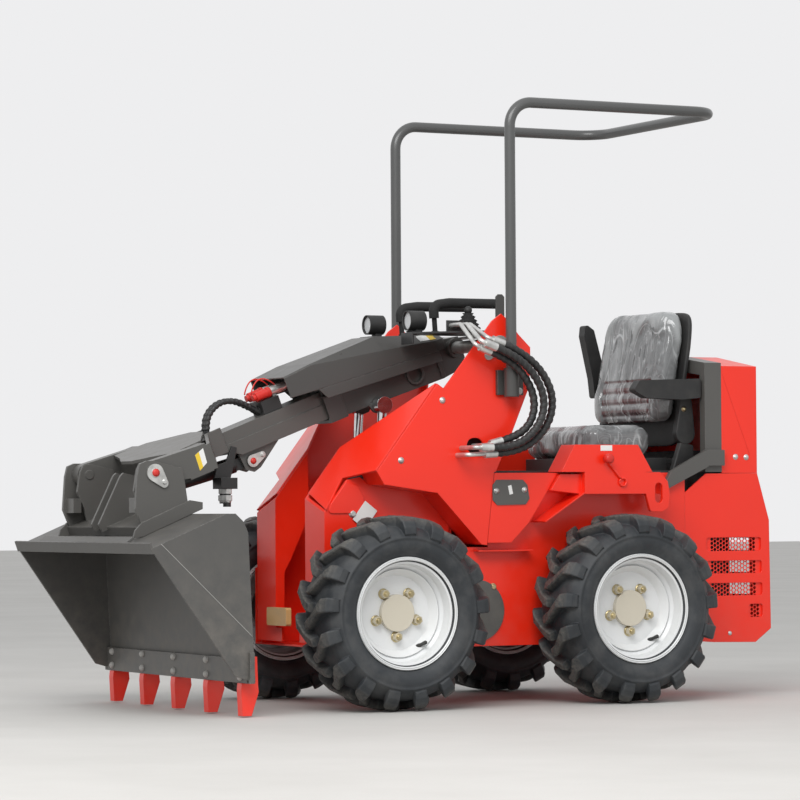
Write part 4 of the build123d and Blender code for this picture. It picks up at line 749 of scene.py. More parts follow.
film_cloth("film_over_back_cloth", 2, PANEL_TOP)
film_cloth("film_over_cushion_cloth", 0, NO_TOP)
print("all", len(materials), "finishes are made")

# %% [markdown]
# ## Finishes on the CAD nodes
# Each carried-over node keeps its mesh and gets the finish of the real part. New pieces take a
# pair: a finish, and the name of a slot that it stands for, which nothing here reads.

# %% Hand the finishes out
node_finish = {
    "red_enamel": ["hull", "towers", "tower_covers", "side_boxes", "fenders", "rear_panels",
                   "hood", "grilles", "bucket_teeth"],
    "boom_enamel": ["boom_outer", "boom_cover", "rops_sockets"],
    "warm_grey_enamel": ["boom_inner", "boom_head", "coupler", "guard_frame", "access_plates"],
    "bucket_enamel": ["bucket_shell"],
    "edge_enamel": ["cutting_edge"],
    "black_satin_enamel": ["deck", "console", "seat_base", "boom_fittings", "lift_barrels",
                           "tilt_barrel"],
    "roll_bar_enamel": ["rops_frame"],
    "black_moulding": ["seat_shell", "armrest_left", "armrest_right", "joystick", "headlamps"],
    "foam_grip": ["control_bars"],
    "red_cap_rubber": ["coupler_caps"],
    "cast_housing": ["engine_block", "wheel_motors"],
    "amber_marker": ["marker_block"],
    "zinc_plating": ["aux_couplers", "hose_pipes"],
    "pin_plate_steel": ["pivot_shaft", "coupler_pins"],
    "hard_chrome": ["lift_rods", "tilt_rod"],
    "lamp_glass": ["lamp_lenses"],
    "wheel_silver": [n for n in nodes if n.startswith("wheel_") and n != "wheel_motors"],
    "tyre_rubber": [n for n in nodes if n.startswith("tyre_")],
}
for finish, names in node_finish.items():
    for name in names:
        slots = nodes[name].data.materials
        slots.clear()
        slots.append(materials[finish])
for tube, points, length in hoses.values():
    tube.data.materials.append(materials["hose_cover_rubber"])
for wound in guards:
    wound.data.materials.append(materials["black_moulding"])

ZINC = (materials["zinc_plating"], "steel")
BRASS = (materials["yellow_zinc_plating"], "steel")
PIN_STEEL = (materials["pin_plate_steel"], "steel")
RED_END = (materials["red_cap_rubber"], "red_paint")
RED_RUBBER = (materials["red_cap_rubber"], "red_rubber")
RED_PAINT = (materials["red_enamel"], "red_paint")
BLACK_PAINT = (materials["black_satin_enamel"], "black_paint")
BLACK_PLASTIC = (materials["black_moulding"], "black_plastic")
FOAM = (materials["foam_grip"], "black_plastic")
WHITE = (materials["white_label"], "silver_paint")
YELLOW = (materials["yellow_label"], "silver_paint")
print("finished", sum(len(names) for names in node_finish.values()), "nodes")

# %% [markdown]
# ## Turned shapes
# Tyres, bolts, valves and knobs are all turned: a profile of radii and heights goes round an
# axis. One helper makes a whole row of such shapes as one mesh, since bolts come in rows.

# %% Profiles turned about an axis
def square_axes(direction):
    """Two unit directions square to a direction and to each other, and the direction."""
    d = unit(np.asarray(direction, float))
    a = unit(np.cross(UP if abs(d[2]) < 0.9 else FORWARD, d))
    return a, np.cross(d, a), d


def turned(profile, centre, axis, count, shape=1):
    """Each row (r, h) of a profile becomes the ring centre + r (cos u a + sin u b) + h d."""
    a, b, d = square_axes(axis)
    angle = turn_angles(count)
    radius, height = np.asarray(profile, float).T[:, :, None] + 0 * angle
    spoke = np.cos(angle)[:, None] * a + np.sin(angle)[:, None] * b
    return np.asarray(centre) + (radius * shape)[..., None] * spoke + height[..., None] * d


def turned_row(name, profile, centres, axes, finish, body="chassis", count=20, hexed=(),
               smooth=True):
    """A turned shape at many places. Rows in hexed follow a hexagon: r / cos(u to its side)."""
    rows = len(profile)
    angle = turn_angles(count)
    shape = np.ones((rows, count))
    shape[list(hexed)] = 1 / np.cos((angle + np.pi / 6) % (np.pi / 3) - np.pi / 6)
    points = [turned(profile, c, a, count, shape) for c, a in zip(centres, axes)]
    faces, caps = closed_grids(rows, count, np.arange(len(points)) * rows * count)
    return piece(name, points, faces, finish, body, caps, smooth)


def turned_piece(name, profile, centre, axis, finish, body="chassis", count=32):
    """One turned shape, closed with flat caps."""
    return turned_row(name, profile, [centre], [axis], finish, body, count)


print("profiles can be turned")

# %% [markdown]
# ## Tyres
# Each tyre has a round carcass and seventeen lugs a side. A lug starts across the middle,
# slants back to the shoulder, widens there and runs down the side. The carcass is a profile
# turned about the axle. A lug is a six-cornered section carried along a short path, and all
# lugs of a tyre are the same section turned to their places in one array.

# %% Tyre surfaces
WHEEL_Y = 0.422
LUGS_PER_SIDE = 17
CARCASS_SIDES = 96
RIGHT_PHASE = 0.08
CHAMFER = 0.0035
FOOT_SPREAD = 0.004
carcass_profile = np.array([
    (0.1537, -0.084), (0.1545, -0.0885), (0.1700, -0.0905), (0.1725, -0.0950),
    (0.1765, -0.0955), (0.1790, -0.0975), (0.1900, -0.1040), (0.2020, -0.1068),
    (0.2140, -0.1070), (0.2200, -0.1050), (0.2225, -0.1072), (0.2265, -0.1074),
    (0.2290, -0.1045), (0.2320, -0.1020), (0.2345, -0.1000), (0.2360, -0.0980),
    (0.2480, -0.0880), (0.2570, -0.0700), (0.2620, -0.0450), (0.2640, -0.0200),
])
carcass_profile = np.vstack([carcass_profile, (carcass_profile * (1, -1))[::-1]])
# Path of a lug: distance out from the middle plane, backward slant, radius on top, radius at
# the foot, how far the foot lies inside the top's plane, width on top
lug_path = np.array([
    (-0.013, -0.006, 0.2900, 0.258, 0.000, 0.026),
    (0.004, -0.001, 0.2920, 0.258, 0.000, 0.031),
    (0.024, 0.010, 0.2920, 0.257, 0.000, 0.026),
    (0.066, 0.046, 0.2910, 0.252, 0.002, 0.028),
    (0.079, 0.056, 0.2870, 0.246, 0.006, 0.044),
    (0.096, 0.060, 0.2755, 0.238, 0.014, 0.047),
    (0.1055, 0.061, 0.2560, 0.232, 0.016, 0.046),
    (0.1072, 0.061, 0.2385, 0.226, 0.010, 0.044),
])


def lug_points(hand, turns):
    """Points (r cos u, y, r sin u) of six corners a section: foot, side, chamfer and back."""
    out, slant, top, foot, inset, width = lug_path.T[:, :, None]
    aside = np.array([-0.5, -0.5, -0.5, 0.5, 0.5, 0.5]) * width
    aside = aside + np.array([-FOOT_SPREAD, 0, CHAMFER, -CHAMFER, 0, FOOT_SPREAD])
    rise = np.array([0, 1, 1, 1, 1, 0])
    radius = foot + (top - foot) * rise - CHAMFER * np.array([0, 1, 0, 0, 1, 0])
    across = hand * (out - inset * (1 - rise))
    angle = turns[:, None, None] + (slant + aside) / AXLE_HEIGHT
    x = radius * np.cos(angle)
    return np.stack([x, np.broadcast_to(across, x.shape), radius * np.sin(angle)], -1)


def tyre(name, centre, body, phase):
    """The carcass and both rows of lugs as one mesh about the axle's middle."""
    carcass = turned(carcass_profile, centre, LEFT, CARCASS_SIDES).reshape(-1, 3)
    points = [carcass]
    faces = [grid_faces(len(carcass_profile), CARCASS_SIDES, True)]
    caps = []
    start = len(carcass)
    rows, corners = len(lug_path), 6
    which = np.arange(LUGS_PER_SIDE)
    for hand, half in ((1, 0.0), (-1, 0.5)):
        turns = phase + (which + half) * (2 * np.pi / LUGS_PER_SIDE) - np.pi / 2
        sides, ends = closed_grids(rows, corners, start + which * rows * corners)
        faces.append(sides)
        caps += ends
        points.append((lug_points(hand, turns) + centre).reshape(-1, 3))
        start += LUGS_PER_SIDE * rows * corners
    rubber = (materials["tyre_rubber"], "tyre")
    made = piece(name, np.vstack(points), np.vstack(faces), rubber, body, caps, False)
    smooth = np.arange(len(made.data.polygons)) < len(faces[0])
    made.data.polygons.foreach_set("use_smooth", smooth)
    return made


wheels = {
    end + "_" + side: (station + STATION_ZERO, hand)
    for end, station in (("front", AXLE_STATION), ("rear", -AXLE_STATION))
    for side, hand in BOTH_SIDES
}
for where, (x, hand) in wheels.items():
    centre = np.array([x, hand * WHEEL_Y, AXLE_HEIGHT])
    phase = 0.0 if hand > 0 else RIGHT_PHASE
    made = tyre("lugged_tyre_" + where, centre, "wheel_" + where, phase)
    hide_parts("tyre_" + where)
    print(made.name, len(made.data.polygons), "faces")

# %% [markdown]
# ## Wheel nuts, washers and valves
# The CAD model has plain hexagons. A coned washer, the stud's end, and a short rubber valve
# with a cap finish each wheel. A profile is a list of radii and heights in metres.

# %% Wheel nuts and valves
NUT_COUNT = 5
FIRST_NUT = 54
NUT_CIRCLE = 0.071
NUT_HEIGHT = 0.020
DISC_FACE = 0.438
VALVE_AT = np.array([-0.072, 0.452, -0.098])
VALVE_LEAN = np.array([-0.25, 0.9, 0.33])
WASHER = [(0.0165, -0.0006), (0.0165, 0.0025), (0.0140, 0.0045), (0.0095, 0.0045)]
STUD_END = [
    (0.0100, -0.001), (0.0100, 0.0005), (0.0062, 0.0012), (0.0062, 0.0058), (0.0050, 0.0070),
    (0.0015, 0.0070),
]
VALVE = [
    (0.007, -0.014), (0.0065, 0.0), (0.0052, 0.008), (0.0052, 0.020), (0.0060, 0.0205),
    (0.0060, 0.030), (0.0045, 0.032),
]
for where, (x, hand) in wheels.items():
    body = "wheel_" + where
    turn = np.radians(FIRST_NUT + 360 / NUT_COUNT * np.arange(NUT_COUNT))
    washers = np.column_stack([
        x + NUT_CIRCLE * np.cos(turn), np.full(NUT_COUNT, hand * DISC_FACE),
        AXLE_HEIGHT + NUT_CIRCLE * np.sin(turn),
    ])
    axis = hand * LEFT
    axes = [axis] * NUT_COUNT
    turned_row("nut_washers_" + where, WASHER, washers, axes, BRASS, body, 24, smooth=False)
    ends = washers + axis * NUT_HEIGHT
    turned_row("stud_ends_" + where, STUD_END, ends, axes, BRASS, body, smooth=False)
    valve = (x, 0, AXLE_HEIGHT) + VALVE_AT * (1, hand, 1)
    leaning = VALVE_LEAN * (1, hand, 1)
    turned_piece("valve_" + where, VALVE, valve, leaning, BLACK_PLASTIC, body, 16)
print("wheels are dressed")

# %% [markdown]
# ## Bolts
# A loader is held together by bolts that show. Each row below is one joined mesh: a turned
# head repeated at its places on both sides, square to the face that it clamps.

# %% Mirrored rows of bolts
TOWER_FACE = 350
FOOT_FACE = 240
BOX_FACE = 353.3
REAR_FACE = 300
SOCKET_FACE = 363.5
RECLINER_FACE = 246.3


def dome_profile(radius, height):
    """A washer with a domed head: (0.78 r cos u, h (0.15 + 0.85 sin u)) up to a small flat."""
    rise = np.linspace(0, np.pi / 2 * 0.93, 6)
    head = np.column_stack([radius * 0.78 * np.cos(rise), height * (0.15 + 0.85 * np.sin(rise))])
    return np.vstack([[(radius, -0.0006), (radius, height * 0.15)], head])


def hex_profile(radius, height):
    """A hexagon head on a round flange, with its top edge chamfered to a circle."""
    return np.array([
        (radius * 1.25, -0.0006), (radius * 1.25, height * 0.16), (radius * 0.9, height * 0.22),
        (radius * 0.9, height * 0.86), (radius * 0.80, height), (radius * 0.3, height),
    ])


DOME = (dome_profile, 20, (), True)
HEXAGON = (hex_profile, 24, (2, 3), False)


def side_rows(body, rows):
    """Turned heads on both sides of the machine, which look outwards."""
    for name, head, radius, height, face, points, finish in rows:
        profile, count, hexed, smooth = head
        near = on_side(points, face)
        centres = np.vstack([near, near * (1, -1, 1)])
        axes = np.sign(centres[:, 1:2]) * LEFT
        turned_row(name, profile(radius, height), centres, axes, finish, body, count, hexed,
                   smooth)


side_rows("chassis", [
    ("tower_cover_bolts", DOME, 0.0100, 0.006, TOWER_FACE, [(195, 932), (338, 749)], ZINC),
    ("tower_foot_bolts", HEXAGON, 0.0095, 0.009, FOOT_FACE, [(449, 589)], ZINC),
    ("access_plate_bolts", DOME, 0.0090, 0.006, BOX_FACE, [(11, 656), (-87, 659)], ZINC),
    ("hood_bolts", DOME, 0.0095, 0.006, REAR_FACE, [(-892, 762), (-932, 761)], ZINC),
    ("rear_panel_bolts", DOME, 0.0070, 0.004, REAR_FACE, [(-865, 200)], ZINC),
    ("chain_cover_bolts", HEXAGON, 0.0085, 0.008, REAR_FACE, [(-4, 362)], BRASS),
    ("socket_bolts", HEXAGON, 0.0085, 0.007, SOCKET_FACE, [(-66, 962)], ZINC),
    ("recliner_bolts", DOME, 0.0085, 0.007, RECLINER_FACE, [(-733, 915)], BRASS),
])
print("bolts are on")

# %% [markdown]
# Pins that turn are held by a silver plate with a small bolt, and the end of each pin is
# painted red. Such a plate has the outline of a drop, and rides with the part that it is
# bolted to.

# %% Pin ends and the tilt cylinder's plates
LUG_FACE = 40.3
PIN_PLATE_THICKNESS = 0.004


def plate(name, corners, normal, thickness, finish, body="chassis"):
    """A flat plate: its corners, and the same corners moved out along the normal."""
    points = np.vstack([corners, corners + thickness * np.asarray(normal)])
    faces, caps = closed_grids(2, len(corners))
    return piece(name, points, faces, finish, body, caps, False)


def teardrop(centre, radius, tip, tip_radius, count=24):
    """Outline in a plane: a large arc about the centre and a small arc about the tip."""
    centre, tip = np.asarray(centre, float), np.asarray(tip, float)
    gap = tip - centre
    lean = np.arccos((radius - tip_radius) / np.hypot(*gap))
    toward = np.arctan2(gap[1], gap[0])
    arcs = (
        (centre, radius, toward + np.linspace(lean, 2 * np.pi - lean, count)),
        (tip, tip_radius, toward + np.linspace(-lean, lean, count // 2)),
    )
    return np.vstack([at + r * np.column_stack([np.cos(a), np.sin(a)]) for at, r, a in arcs])


side_rows("bucket", [
    ("coupler_pin_ends", DOME, 0.0120, 0.004, 297.0, [(1120, 713)], RED_END),
    ("coupler_plate_bolts", HEXAGON, 0.0065, 0.005, 293.8, [(1092, 686)], ZINC),
])
for side, hand in BOTH_SIDES:
    corners = on_side(teardrop((687, 752), 19, (656, 771), 10.5), hand * LUG_FACE)
    plate("tilt_pin_plate_" + side, corners, hand * LEFT, PIN_PLATE_THICKNESS, PIN_STEEL,
          "inner_boom")
side_rows("inner_boom", [
    ("tilt_pin_ends", DOME, 0.0100, 0.004, LUG_FACE + 4, [(687, 752)], RED_END),
    ("tilt_plate_bolts", HEXAGON, 0.0060, 0.005, LUG_FACE + 4, [(656, 771)], ZINC),
])
print("pin plates are on")

# %% [markdown]
# ## Labels
# The real machine carries stickers. Here they stay blank: thin plates that follow the sheet
# below them, in white and yellow.

# %% Blank labels
LABEL_THICKNESS = 0.0005
LABEL_LIFT = 0.0004
HEAD_FACE = 274.6
FENDER_FACE = 385.3
COVER_SLOPE = np.array([0.05, 0.58, 0.81])


def sloped_label(name, middle, size, finish, body):
    """A plate on the boom's cover: corners at middle + s along + t across, long side ahead."""
    normal = unit(COVER_SLOPE)
    along = unit(BOOM_FORWARD - normal * (BOOM_FORWARD @ normal))
    across = np.cross(normal, along)
    signs = np.array([(-1, -1), (1, -1), (1, 1), (-1, 1)]) * np.array(size) / 2
    corners = middle + signs[:, :1] * along + signs[:, 1:] * across + normal * LABEL_LIFT
    plate(name, corners, normal, LABEL_THICKNESS, finish, body)


flat_labels = [
    ("head_label", [(985, 765), (959, 786), (946, 743), (969, 719)], HEAD_FACE, WHITE,
     "inner_boom"),
    ("head_label_band", [(985, 765), (973, 774.5), (958.5, 730), (969, 719)], HEAD_FACE + 0.5,
     YELLOW, "inner_boom"),
    ("foot_label", [(407, 628), (366, 597), (409, 541), (450, 572)], 244.6, WHITE, "chassis"),
    ("fender_label", [(-341, 796), (-383, 796), (-383, 779), (-341, 779)], FENDER_FACE, WHITE,
     "chassis"),
    ("access_label", [(-29, 671), (-41, 674), (-47, 647), (-35, 644)], BOX_FACE, WHITE,
     "chassis"),
]
for name, outline, y, finish, body in flat_labels:
    plate(name, on_side(outline, y), LEFT, LABEL_THICKNESS, finish, body)
sloped_label("cover_label", place(100, 62, 1137.2), (0.060, 0.030), WHITE, "boom")
band_middle = place(82, 62, 1138.6) + 0.0006 * COVER_SLOPE
sloped_label("cover_label_band", band_middle, (0.022, 0.028), YELLOW, "boom")
print("labels are blank and in place")

# %% [markdown]
# ## Boots, grips and knobs
# The joystick stands in a rubber boot of five folds. Its outline is a sawtooth that narrows
# upwards, turned about the lever. The foam grips end in half domes.

# %% Boots and levers
SHELF_TOP = 1148.0
FOLD_DEPTH = 0.007
NECK_RADIUS = 0.005
GRIP_RADIUS = 0.0155
BRACKET_THICKNESS = 0.005


def boot_profile(radius, top_radius, height, folds):
    """Folds out and in: r falls in a line from radius to top_radius, less a sawtooth."""
    steps = 2 * folds + 1
    share = np.linspace(0, 1, steps)
    saw = np.where(np.arange(steps) % 2 == 0, 0.0, -FOLD_DEPTH)
    rings = np.column_stack([radius + (top_radius - radius) * share + saw, height * share])
    lip = np.array([(radius + 0.004, 0.0), (radius + 0.004, 0.004), (radius, 0.005)])
    rings[:, 1] += 0.005
    return np.vstack([lip, rings])


def knob_profile(radius, height, foot):
    """A ball on a neck: (r cos u, foot + height + r sin u) above a thin neck."""
    rise = np.linspace(-1.1, np.pi / 2 - 0.08, 12)
    ball = np.column_stack([radius * np.cos(rise), foot + height + radius * np.sin(rise)])
    neck = [(NECK_RADIUS, foot), (NECK_RADIUS, foot + height - radius * 0.9)]
    return np.vstack([neck, ball])


stick = place(0, 158, SHELF_TOP + 0.3)
lever = place(44, -150, SHELF_TOP + 0.3)
boot = turned_piece("joystick_boot", boot_profile(0.046, 0.018, 0.058, 5), stick, UP, FOAM,
                    count=48)
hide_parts("joystick")
turned_piece("joystick_knob", knob_profile(0.013, 0.012, 0.060), stick, UP, BLACK_PLASTIC)
turned_piece("lever_boot", boot_profile(0.022, 0.010, 0.022, 3), lever, UP, FOAM, count=40)
turned_piece("lever_knob", knob_profile(0.015, 0.046, 0.022), lever, UP, BLACK_PLASTIC)
rise = np.linspace(0, np.pi / 2 * 0.95, 8)
dome = GRIP_RADIUS * np.column_stack([np.cos(rise), np.sin(rise)])
for side, hand in BOTH_SIDES:
    turned_piece("grip_end_" + side, dome, place(-126.5, hand * 100.0, 1246), -FORWARD, FOAM)
bracket = [(-106, 1148.2), (-76, 1148.2), (-76, 1262), (-84, 1270), (-98, 1270), (-106, 1262)]
plate("switch_bracket", on_side(bracket, 196.0), LEFT, BRACKET_THICKNESS,
      (materials["boom_enamel"], "dark_paint"))
print("boots, grips and bracket are made")

# %% [markdown]
# ## Fender lock, cap straps and lap lines
# Thin tubes along short lines finish the smaller things: the rod and ring of the fender lock,
# the red straps of the coupler caps, and the raised line where one plate laps over another.
# That lap line on the bucket is pale grey, a painted highlight.

# %% Thin tubes on both sides
CHEEK_FACE = 531.5
COUPLER_Y = 24
STRAP_START, STRAP_SPAN = 612, 86
STRAP_FOOT, STRAP_RISE = 105, 34
LOCK_KNOB = [
    (0.009, 0.0), (0.009, 0.010), (0.0145, 0.012), (0.0155, 0.020), (0.0145, 0.030),
    (0.008, 0.034),
]
# Pale finish for the bucket's lap line: a painted highlight.
lap_highlight_finish = (materials["lap_line_painted_highlight"], "dark_paint")
for side, hand in BOTH_SIDES:
    face = hand * FENDER_FACE
    turned_piece("lock_knob_" + side, LOCK_KNOB, place(-358, face, 754), hand * LEFT, RED_RUBBER)
    rod = place(np.linspace(-362, -410, 8), face + hand * 6, np.linspace(748, 692, 8))
    tube_piece("lock_rod_" + side, rod, 0.0032, RED_PAINT)
    around = np.linspace(0.05, 2 * np.pi - 0.05, 36)
    ring = place(-419 + 12 * np.cos(around), face + hand * 4, 682 + 12 * np.sin(around))
    tube_piece("lock_ring_" + side, ring, 0.0034, RED_PAINT)
for side, hand in BOTH_SIDES:
    along = np.linspace(0, 1, 40)
    arch = STRAP_FOOT + STRAP_RISE * np.sin(np.pi * along) ** 0.8
    strap = on_boom(STRAP_START + STRAP_SPAN * along, hand * COUPLER_Y, arch)
    tube_piece("cap_strap_" + side, strap, 0.0022, RED_RUBBER, "inner_boom")
for side, hand in BOTH_SIDES:
    share = np.linspace(0, 1, 60)
    lap = place(1206 - 286 * share, hand * CHEEK_FACE, 506 - 270 * share)
    tube_piece("cheek_lap_" + side, lap, 0.0013, lap_highlight_finish, "bucket", 8)
    fold = place(-842 - 104 * share, hand * REAR_FACE, 1030 - 262 * share)
    tube_piece("hood_crease_" + side, fold, 0.0008, RED_PAINT, count=8)
print("small tubes are made")

# %% [markdown]
# Three hose fittings hang under the boom's head. Each is a stack of two hexagon nuts with a
# round neck between them.

# %% Nuts on the hose fittings under the boom
FITTING_TOP = 665.5
NUT_STACK = [
    (0.0140, -0.0005), (0.0140, 0.0140), (0.0115, 0.0145), (0.0115, 0.0180),
    (0.0150, 0.0185), (0.0150, 0.0350), (0.0128, 0.0365), (0.0128, 0.0400),
]
fitting_places = place(np.array([800, 800, 786]), np.array([96, 70, 58]), FITTING_TOP)
turned_row("fitting_nuts", NUT_STACK, fitting_places, [-UP] * 3, ZINC, "inner_boom", 24,
           (0, 1, 4, 5), False)
print("fitting nuts are made")

# %% [markdown]
# ## The operator's pads
# Both pads start as a rounded box, which is remeshed into small even faces. Cloth under
# pressure then swells it like stuffing would, with each point held within 12 mm of its start.
# The pleats and seams are pressed in afterwards, because remeshing would smooth them away.

# %% Rounded box and cloth helpers
VOXEL = 0.007
CLOTH_FRAMES = 20
MOST_SWELL = 0.012


def rounded_box(half, power, count=64):
    """Half sizes times (cos v cos u, cos v sin u, sin v), each factor to a power with its sign."""
    u = np.linspace(-np.pi, np.pi, count, endpoint=False)
    rows = count // 2
    v = np.linspace(-np.pi / 2 + 0.02, np.pi / 2 - 0.02, rows)[:, None]
    cos_u, sin_u, cos_v, sin_v = (
        np.sign(w) * np.abs(w) ** power for w in (np.cos(u), np.sin(u), np.cos(v), np.sin(v))
    )
    x, y, z = half
    points = np.stack([x * cos_v * cos_u, y * cos_v * sin_u, z * sin_v + 0 * u], -1)
    return points.reshape(-1, 3), *closed_grids(rows, count)


def mesh_arrays(mesh):
    """The points and the four-sided faces of a mesh as arrays."""
    corners = np.empty(len(mesh.loops), int)
    mesh.loops.foreach_get("vertex_index", corners)
    return mesh_points(mesh), corners.reshape(-1, 4)


def evaluated(work):
    """The arrays of an object's mesh after its modifiers. The object is removed."""
    graph = bpy.context.evaluated_depsgraph_get()
    result = mesh_arrays(bpy.data.meshes.new_from_object(work.evaluated_get(graph)))
    bpy.data.objects.remove(work)
    return result


def worked(points, faces, ends, kind, **settings):
    """The arrays of a mesh after one modifier, with the ends of its grid closed."""
    mesh = new_mesh("work", points, faces.tolist() + ends)
    outward(mesh)
    work = linked("work", mesh)
    modifier = work.modifiers.new("work", kind)
    for key, value in settings.items():
        setattr(modifier, key, value)
    return evaluated(work)


def swelled(points, faces):
    """The points after some frames of cloth under pressure, each moved by so much at most."""
    pad = linked("pad_work", new_mesh("pad_work", points, faces.tolist()))
    cloth = pad.modifiers.new("cloth", "CLOTH")
    cloth.settings.use_pressure = True
    cloth.settings.uniform_pressure_force = 4
    cloth.settings.effector_weights.gravity = 0
    cloth.settings.quality = 5
    cloth.point_cache.frame_start = 1
    cloth.point_cache.frame_end = CLOTH_FRAMES
    for frame_number in range(1, CLOTH_FRAMES + 1):
        bpy.context.scene.frame_set(frame_number)
    moved = evaluated(pad)[0] - points
    bpy.context.scene.frame_set(1)
    far = np.linalg.norm(moved, axis=1)[:, None]
    print("cloth moved the pad by up to", round(float(far.max()) * 1000, 1), "mm")
    return points + moved * np.minimum(1, MOST_SWELL / np.maximum(far, 1e-9))


def pad_surface(half, power, warp):
    """A warped rounded box, remeshed, swelled by cloth and smoothed once."""
    points, faces, ends = rounded_box(half, power)
    points, faces = worked(warp(points), faces, ends, "REMESH", mode="VOXEL", voxel_size=VOXEL)
    points = swelled(points, faces)
    return worked(points, faces, [], "SUBSURF", levels=1, render_levels=1)


print("pads can be made")

# %% [markdown]
# The back cushion leans along the line of the CAD model's back. Its middle panel has four
# pleats in its lower half, and the sides beyond the seams swell forward as bolsters.

# %% The back cushion
BACK_LINE_Z = np.array([868, 960, 1120, 1232]) / 1000
BACK_LINE_X = np.array([-662, -668, -700, -712]) / 1000 + STATION_ZERO
BACK_DEPTH = 0.062
BACK_SIDE = 0.2195
BACK_LOW, BACK_TOP = 0.862, 1.245
FIRST_PLEAT = 0.900
PLEATS_END = 1.018


def groove(distance, width):
    """exp(-(d / w)^2): 1 on a seam and 0 away from it."""
    return np.exp(-(distance / width) ** 2)


def pressed(points, value, first, count):
    """Depths of the seams beside the middle panel and of the pleat that is nearest on it."""
    aside = np.abs(points[:, 1])
    panel = np.clip((PANEL_HALF + 0.004 - aside) / 0.008, 0, 1)
    index = np.clip(np.round((value - first) / PLEAT_PITCH), 0, count - 1)
    pleat = groove(value - (first + index * PLEAT_PITCH), 0.006) * panel * 0.005
    return groove(aside - PANEL_HALF, 0.005) * 0.0065, pleat


def lean(points):
    """Moves the upright box back along the cushion's line and narrows its top a little."""
    z = points[:, 2] + (BACK_LOW + BACK_TOP) / 2
    front = np.interp(z, BACK_LINE_Z, BACK_LINE_X)
    share = (z - BACK_LOW) / (BACK_TOP - BACK_LOW)
    narrow = 1 - 0.13 * (np.clip(share - 0.5, 0, 1) / 0.5) ** 3
    return np.column_stack([points[:, 0] + front - BACK_DEPTH / 2, points[:, 1] * narrow, z])


points, faces = pad_surface((0.029, 0.218, 0.189), 0.24, lean)
front = np.interp(points[:, 2], BACK_LINE_Z, BACK_LINE_X)
facing = np.clip((points[:, 0] - (front - 0.030)) / 0.020, 0, 1)
low_half = np.clip((PLEATS_END - points[:, 2]) / 0.008, 0, 1)
seam, pleat = pressed(points, points[:, 2], FIRST_PLEAT, 4)
bolster = np.clip((np.abs(points[:, 1]) - PANEL_HALF) / 0.05, 0, 1) * 0.006
points[:, 0] += facing * (bolster - seam - pleat * low_half)
points[:, 0] = np.maximum(points[:, 0], front - BACK_DEPTH)
points[:, 1] = np.clip(points[:, 1], -BACK_SIDE, BACK_SIDE)
back_pad = piece("back_cushion_pad", points, faces,
                 (materials["film_over_back_cloth"], "seat_cover"))
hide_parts("seat_back")
print("back cushion", len(back_pad.data.polygons), "faces")

# %% [markdown]
# The sitting cushion is a flat box with raised rear and side edges. Its six pleats run across,
# and its underside stays flat, because it rests on the seat's base.

# %% The sitting cushion
CUSHION_MIDDLE = place(-520.0, 0.0, 809.4)
CUSHION_HALF = np.array([0.135, 0.225, 0.0485])
CUSHION_FOOT = 0.7612
CUSHION_REAR = -0.655 + STATION_ZERO
REAR_PLEAT = -0.628


def settle(points):
    """Moves the flat box to its place and raises its rear and side edges a little."""
    rear = np.clip(-points[:, 0] / CUSHION_HALF[0], 0, 1) ** 2
    edge = np.clip(np.abs(points[:, 1]) / CUSHION_HALF[1], 0, 1) ** 4
    raised = np.clip(points[:, 2] / CUSHION_HALF[2], 0, 1) * (0.006 * rear + 0.006 * edge)
    return points + CUSHION_MIDDLE + raised[:, None] * UP


points, faces = pad_surface((0.131, 0.220, 0.043), 0.30, settle)
facing = np.clip((points[:, 2] - CUSHION_MIDDLE[2] - 0.018) / 0.018, 0, 1)
seam, pleat = pressed(points, points[:, 0] - STATION_ZERO, REAR_PLEAT, 6)
points[:, 2] -= facing * (seam + pleat)
points[:, 2] = np.maximum(points[:, 2], CUSHION_FOOT)
points[:, 0] = np.maximum(points[:, 0], CUSHION_REAR)
seat_pad = piece("sitting_cushion_pad", points, faces,
                 (materials["film_over_cushion_cloth"], "seat_cover"))
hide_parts("seat_cushion")
print("sitting cushion", len(seat_pad.data.polygons), "faces")

# %% [markdown]
# The pads sit in a moulded shell. It is the same rounded box made thin, leaning with the back
# cushion, with round recliner covers at its foot. A bevel softens the covers' edges.

# %% Moulded shell with its recliner covers
SHELL_HALF = (0.0085, 0.2225, 0.215)
SHELL_MIDDLE = 1.014
SHELL_BACK = 0.0090
RECLINER_INSIDE, RECLINER_DEPTH = 220.4, 0.0258
RAIL_RIGHT, RAIL_LENGTH = -224.0, 0.448


def shell_lean(points):
    """Stands the thin box up just behind the back cushion."""
    z = points[:, 2] + SHELL_MIDDLE
    rear = np.interp(z, BACK_LINE_Z, BACK_LINE_X) - BACK_DEPTH
    return np.column_stack([points[:, 0] + rear - SHELL_BACK, points[:, 1], z])


def soft_plate(name, corners, normal, thickness, finish, width):
    """A plate whose edges are rounded by a three-segment bevel."""
    modifier = plate(name, corners, normal, thickness, finish).modifiers.new(
        "soft_edges", "BEVEL")
    modifier.width = width
    modifier.segments = 3
    modifier.limit_method = "ANGLE"


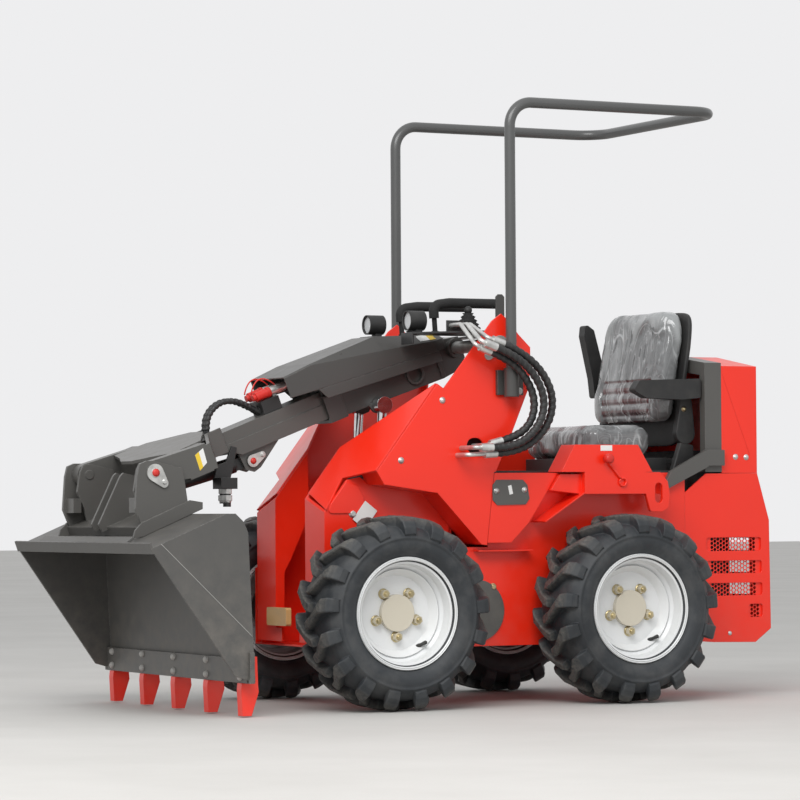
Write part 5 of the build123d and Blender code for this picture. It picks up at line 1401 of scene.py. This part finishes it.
points, faces, ends = rounded_box(SHELL_HALF, 0.22, 96)
shell = piece("moulded_shell", shell_lean(points), faces, BLACK_PLASTIC, caps=ends)
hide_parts("seat_shell")
recliner_pieces = (
    ("recliner_cover_", teardrop((-740, 838), 36, (-745, 960), 18, 40), 0.0),
    ("recliner_leg_", [(-690, 719), (-776, 719), (-770, 800), (-722, 812.0)], 1.5),
)
for side, hand in BOTH_SIDES:
    for name, outline, inside in recliner_pieces:
        corners = on_side(outline, hand * (RECLINER_INSIDE + inside))
        depth = RECLINER_DEPTH - 2 * inside / 1000
        soft_plate(name + side, corners, hand * LEFT, depth, BLACK_PLASTIC, 0.004)
rail = on_side([(-776, 743), (-738, 743), (-738, 759), (-776, 759)], RAIL_RIGHT)
soft_plate("seat_cross_rail", rail, LEFT, RAIL_LENGTH, BLACK_PAINT, 0.002)
print("shell and recliners are made")

# %% [markdown]
# Behind the hose slot of each tower the inside of the machine lies in shade. A thin black liner
# inside the tower paints that shade.

# %% Dark liners behind the hose slots: painted shade
LINER_Y = 300.0
LINER_THICKNESS = 0.003
for side, hand in BOTH_SIDES:
    corners = on_side([(0, 742), (118, 742), (118, 850), (0, 850)], hand * LINER_Y)
    # A black plate painted as the shade inside the tower.
    plate("slot_liner_" + side, corners, hand * LEFT, LINER_THICKNESS, BLACK_PAINT)
print("slot liners are in")

# %% [markdown]
# ## Light, floor and backdrop
# The floor is a large square of pale concrete: slow noise makes it cloudy, and fine noise
# gives it grit.

# %% Floor
REACH = 40.0
tree, shader, where = surface("pale_concrete", {"Roughness": 0.75})
cloud = noise(tree, where, 1.3, 6.0, 0.6)
grit = noise(tree, where, 160.0, 3.0)
blend = plus(tree, times(tree, cloud, 0.8), times(tree, grit, 0.2))
join(tree, shader, {
    "Base Color": mixed(tree, ranged(tree, blend, 0.3, 0.7), (0.52, 0.505, 0.48),
                        (0.60, 0.585, 0.56)),
    "Normal": bumped(tree, 0.15, 0.002, grit),
})
corners = [(-REACH, -REACH, 0), (REACH, -REACH, 0), (REACH, REACH, 0), (-REACH, REACH, 0)]
mesh = new_mesh("yard_floor", corners, [(0, 1, 2, 3)])
mesh.materials.append(materials["pale_concrete"])
floor = linked("yard_floor", mesh)
print("floor is laid")

# %% [markdown]
# Soft light from everywhere shows shapes plainly. The world gives most of it, and looks a
# little brighter to the camera and in reflections than the light that it casts. One large lamp
# above and to the left gives the panels a clear top edge.

# %% World and lamp
world = bpy.data.worlds.new("soft_studio")
bpy.context.scene.world = world
world.use_nodes = True
sky = world.node_tree
sky.nodes.clear()
ray = node(sky, "LightPath").outputs
seen = plus(sky, ray["Is Camera Ray"], ray["Is Glossy Ray"])
seen = plus(sky, seen, ray["Is Transmission Ray"], True)
plain_light = node(sky, "Background", {"Color": (0.96, 0.98, 1.0, 1), "Strength": 0.72})
shown = node(sky, "Background", {"Color": (0.90, 0.90, 0.91, 1), "Strength": 0.95})
choice = node(sky, "MixShader", {0: seen, 1: plain_light.outputs[0], 2: shown.outputs[0]})
node(sky, "OutputWorld", {0: choice.outputs[0]})

LAMP_AT = np.array([3.2, 4.2, 5.0])
LAMP_AIM = np.array([0, 0, 0.7])
lamp = linked("softbox", bpy.data.lights.new("softbox", "AREA"))
lamp.data.shape = "RECTANGLE"
lamp.data.size = 5
lamp.data.size_y = 3
lamp.data.energy = 330
lamp.matrix_world = pose_matrix(*square_axes(LAMP_AT - LAMP_AIM), LAMP_AT)
bpy.context.scene.view_settings.view_transform = "Standard"
print("stage is lit")
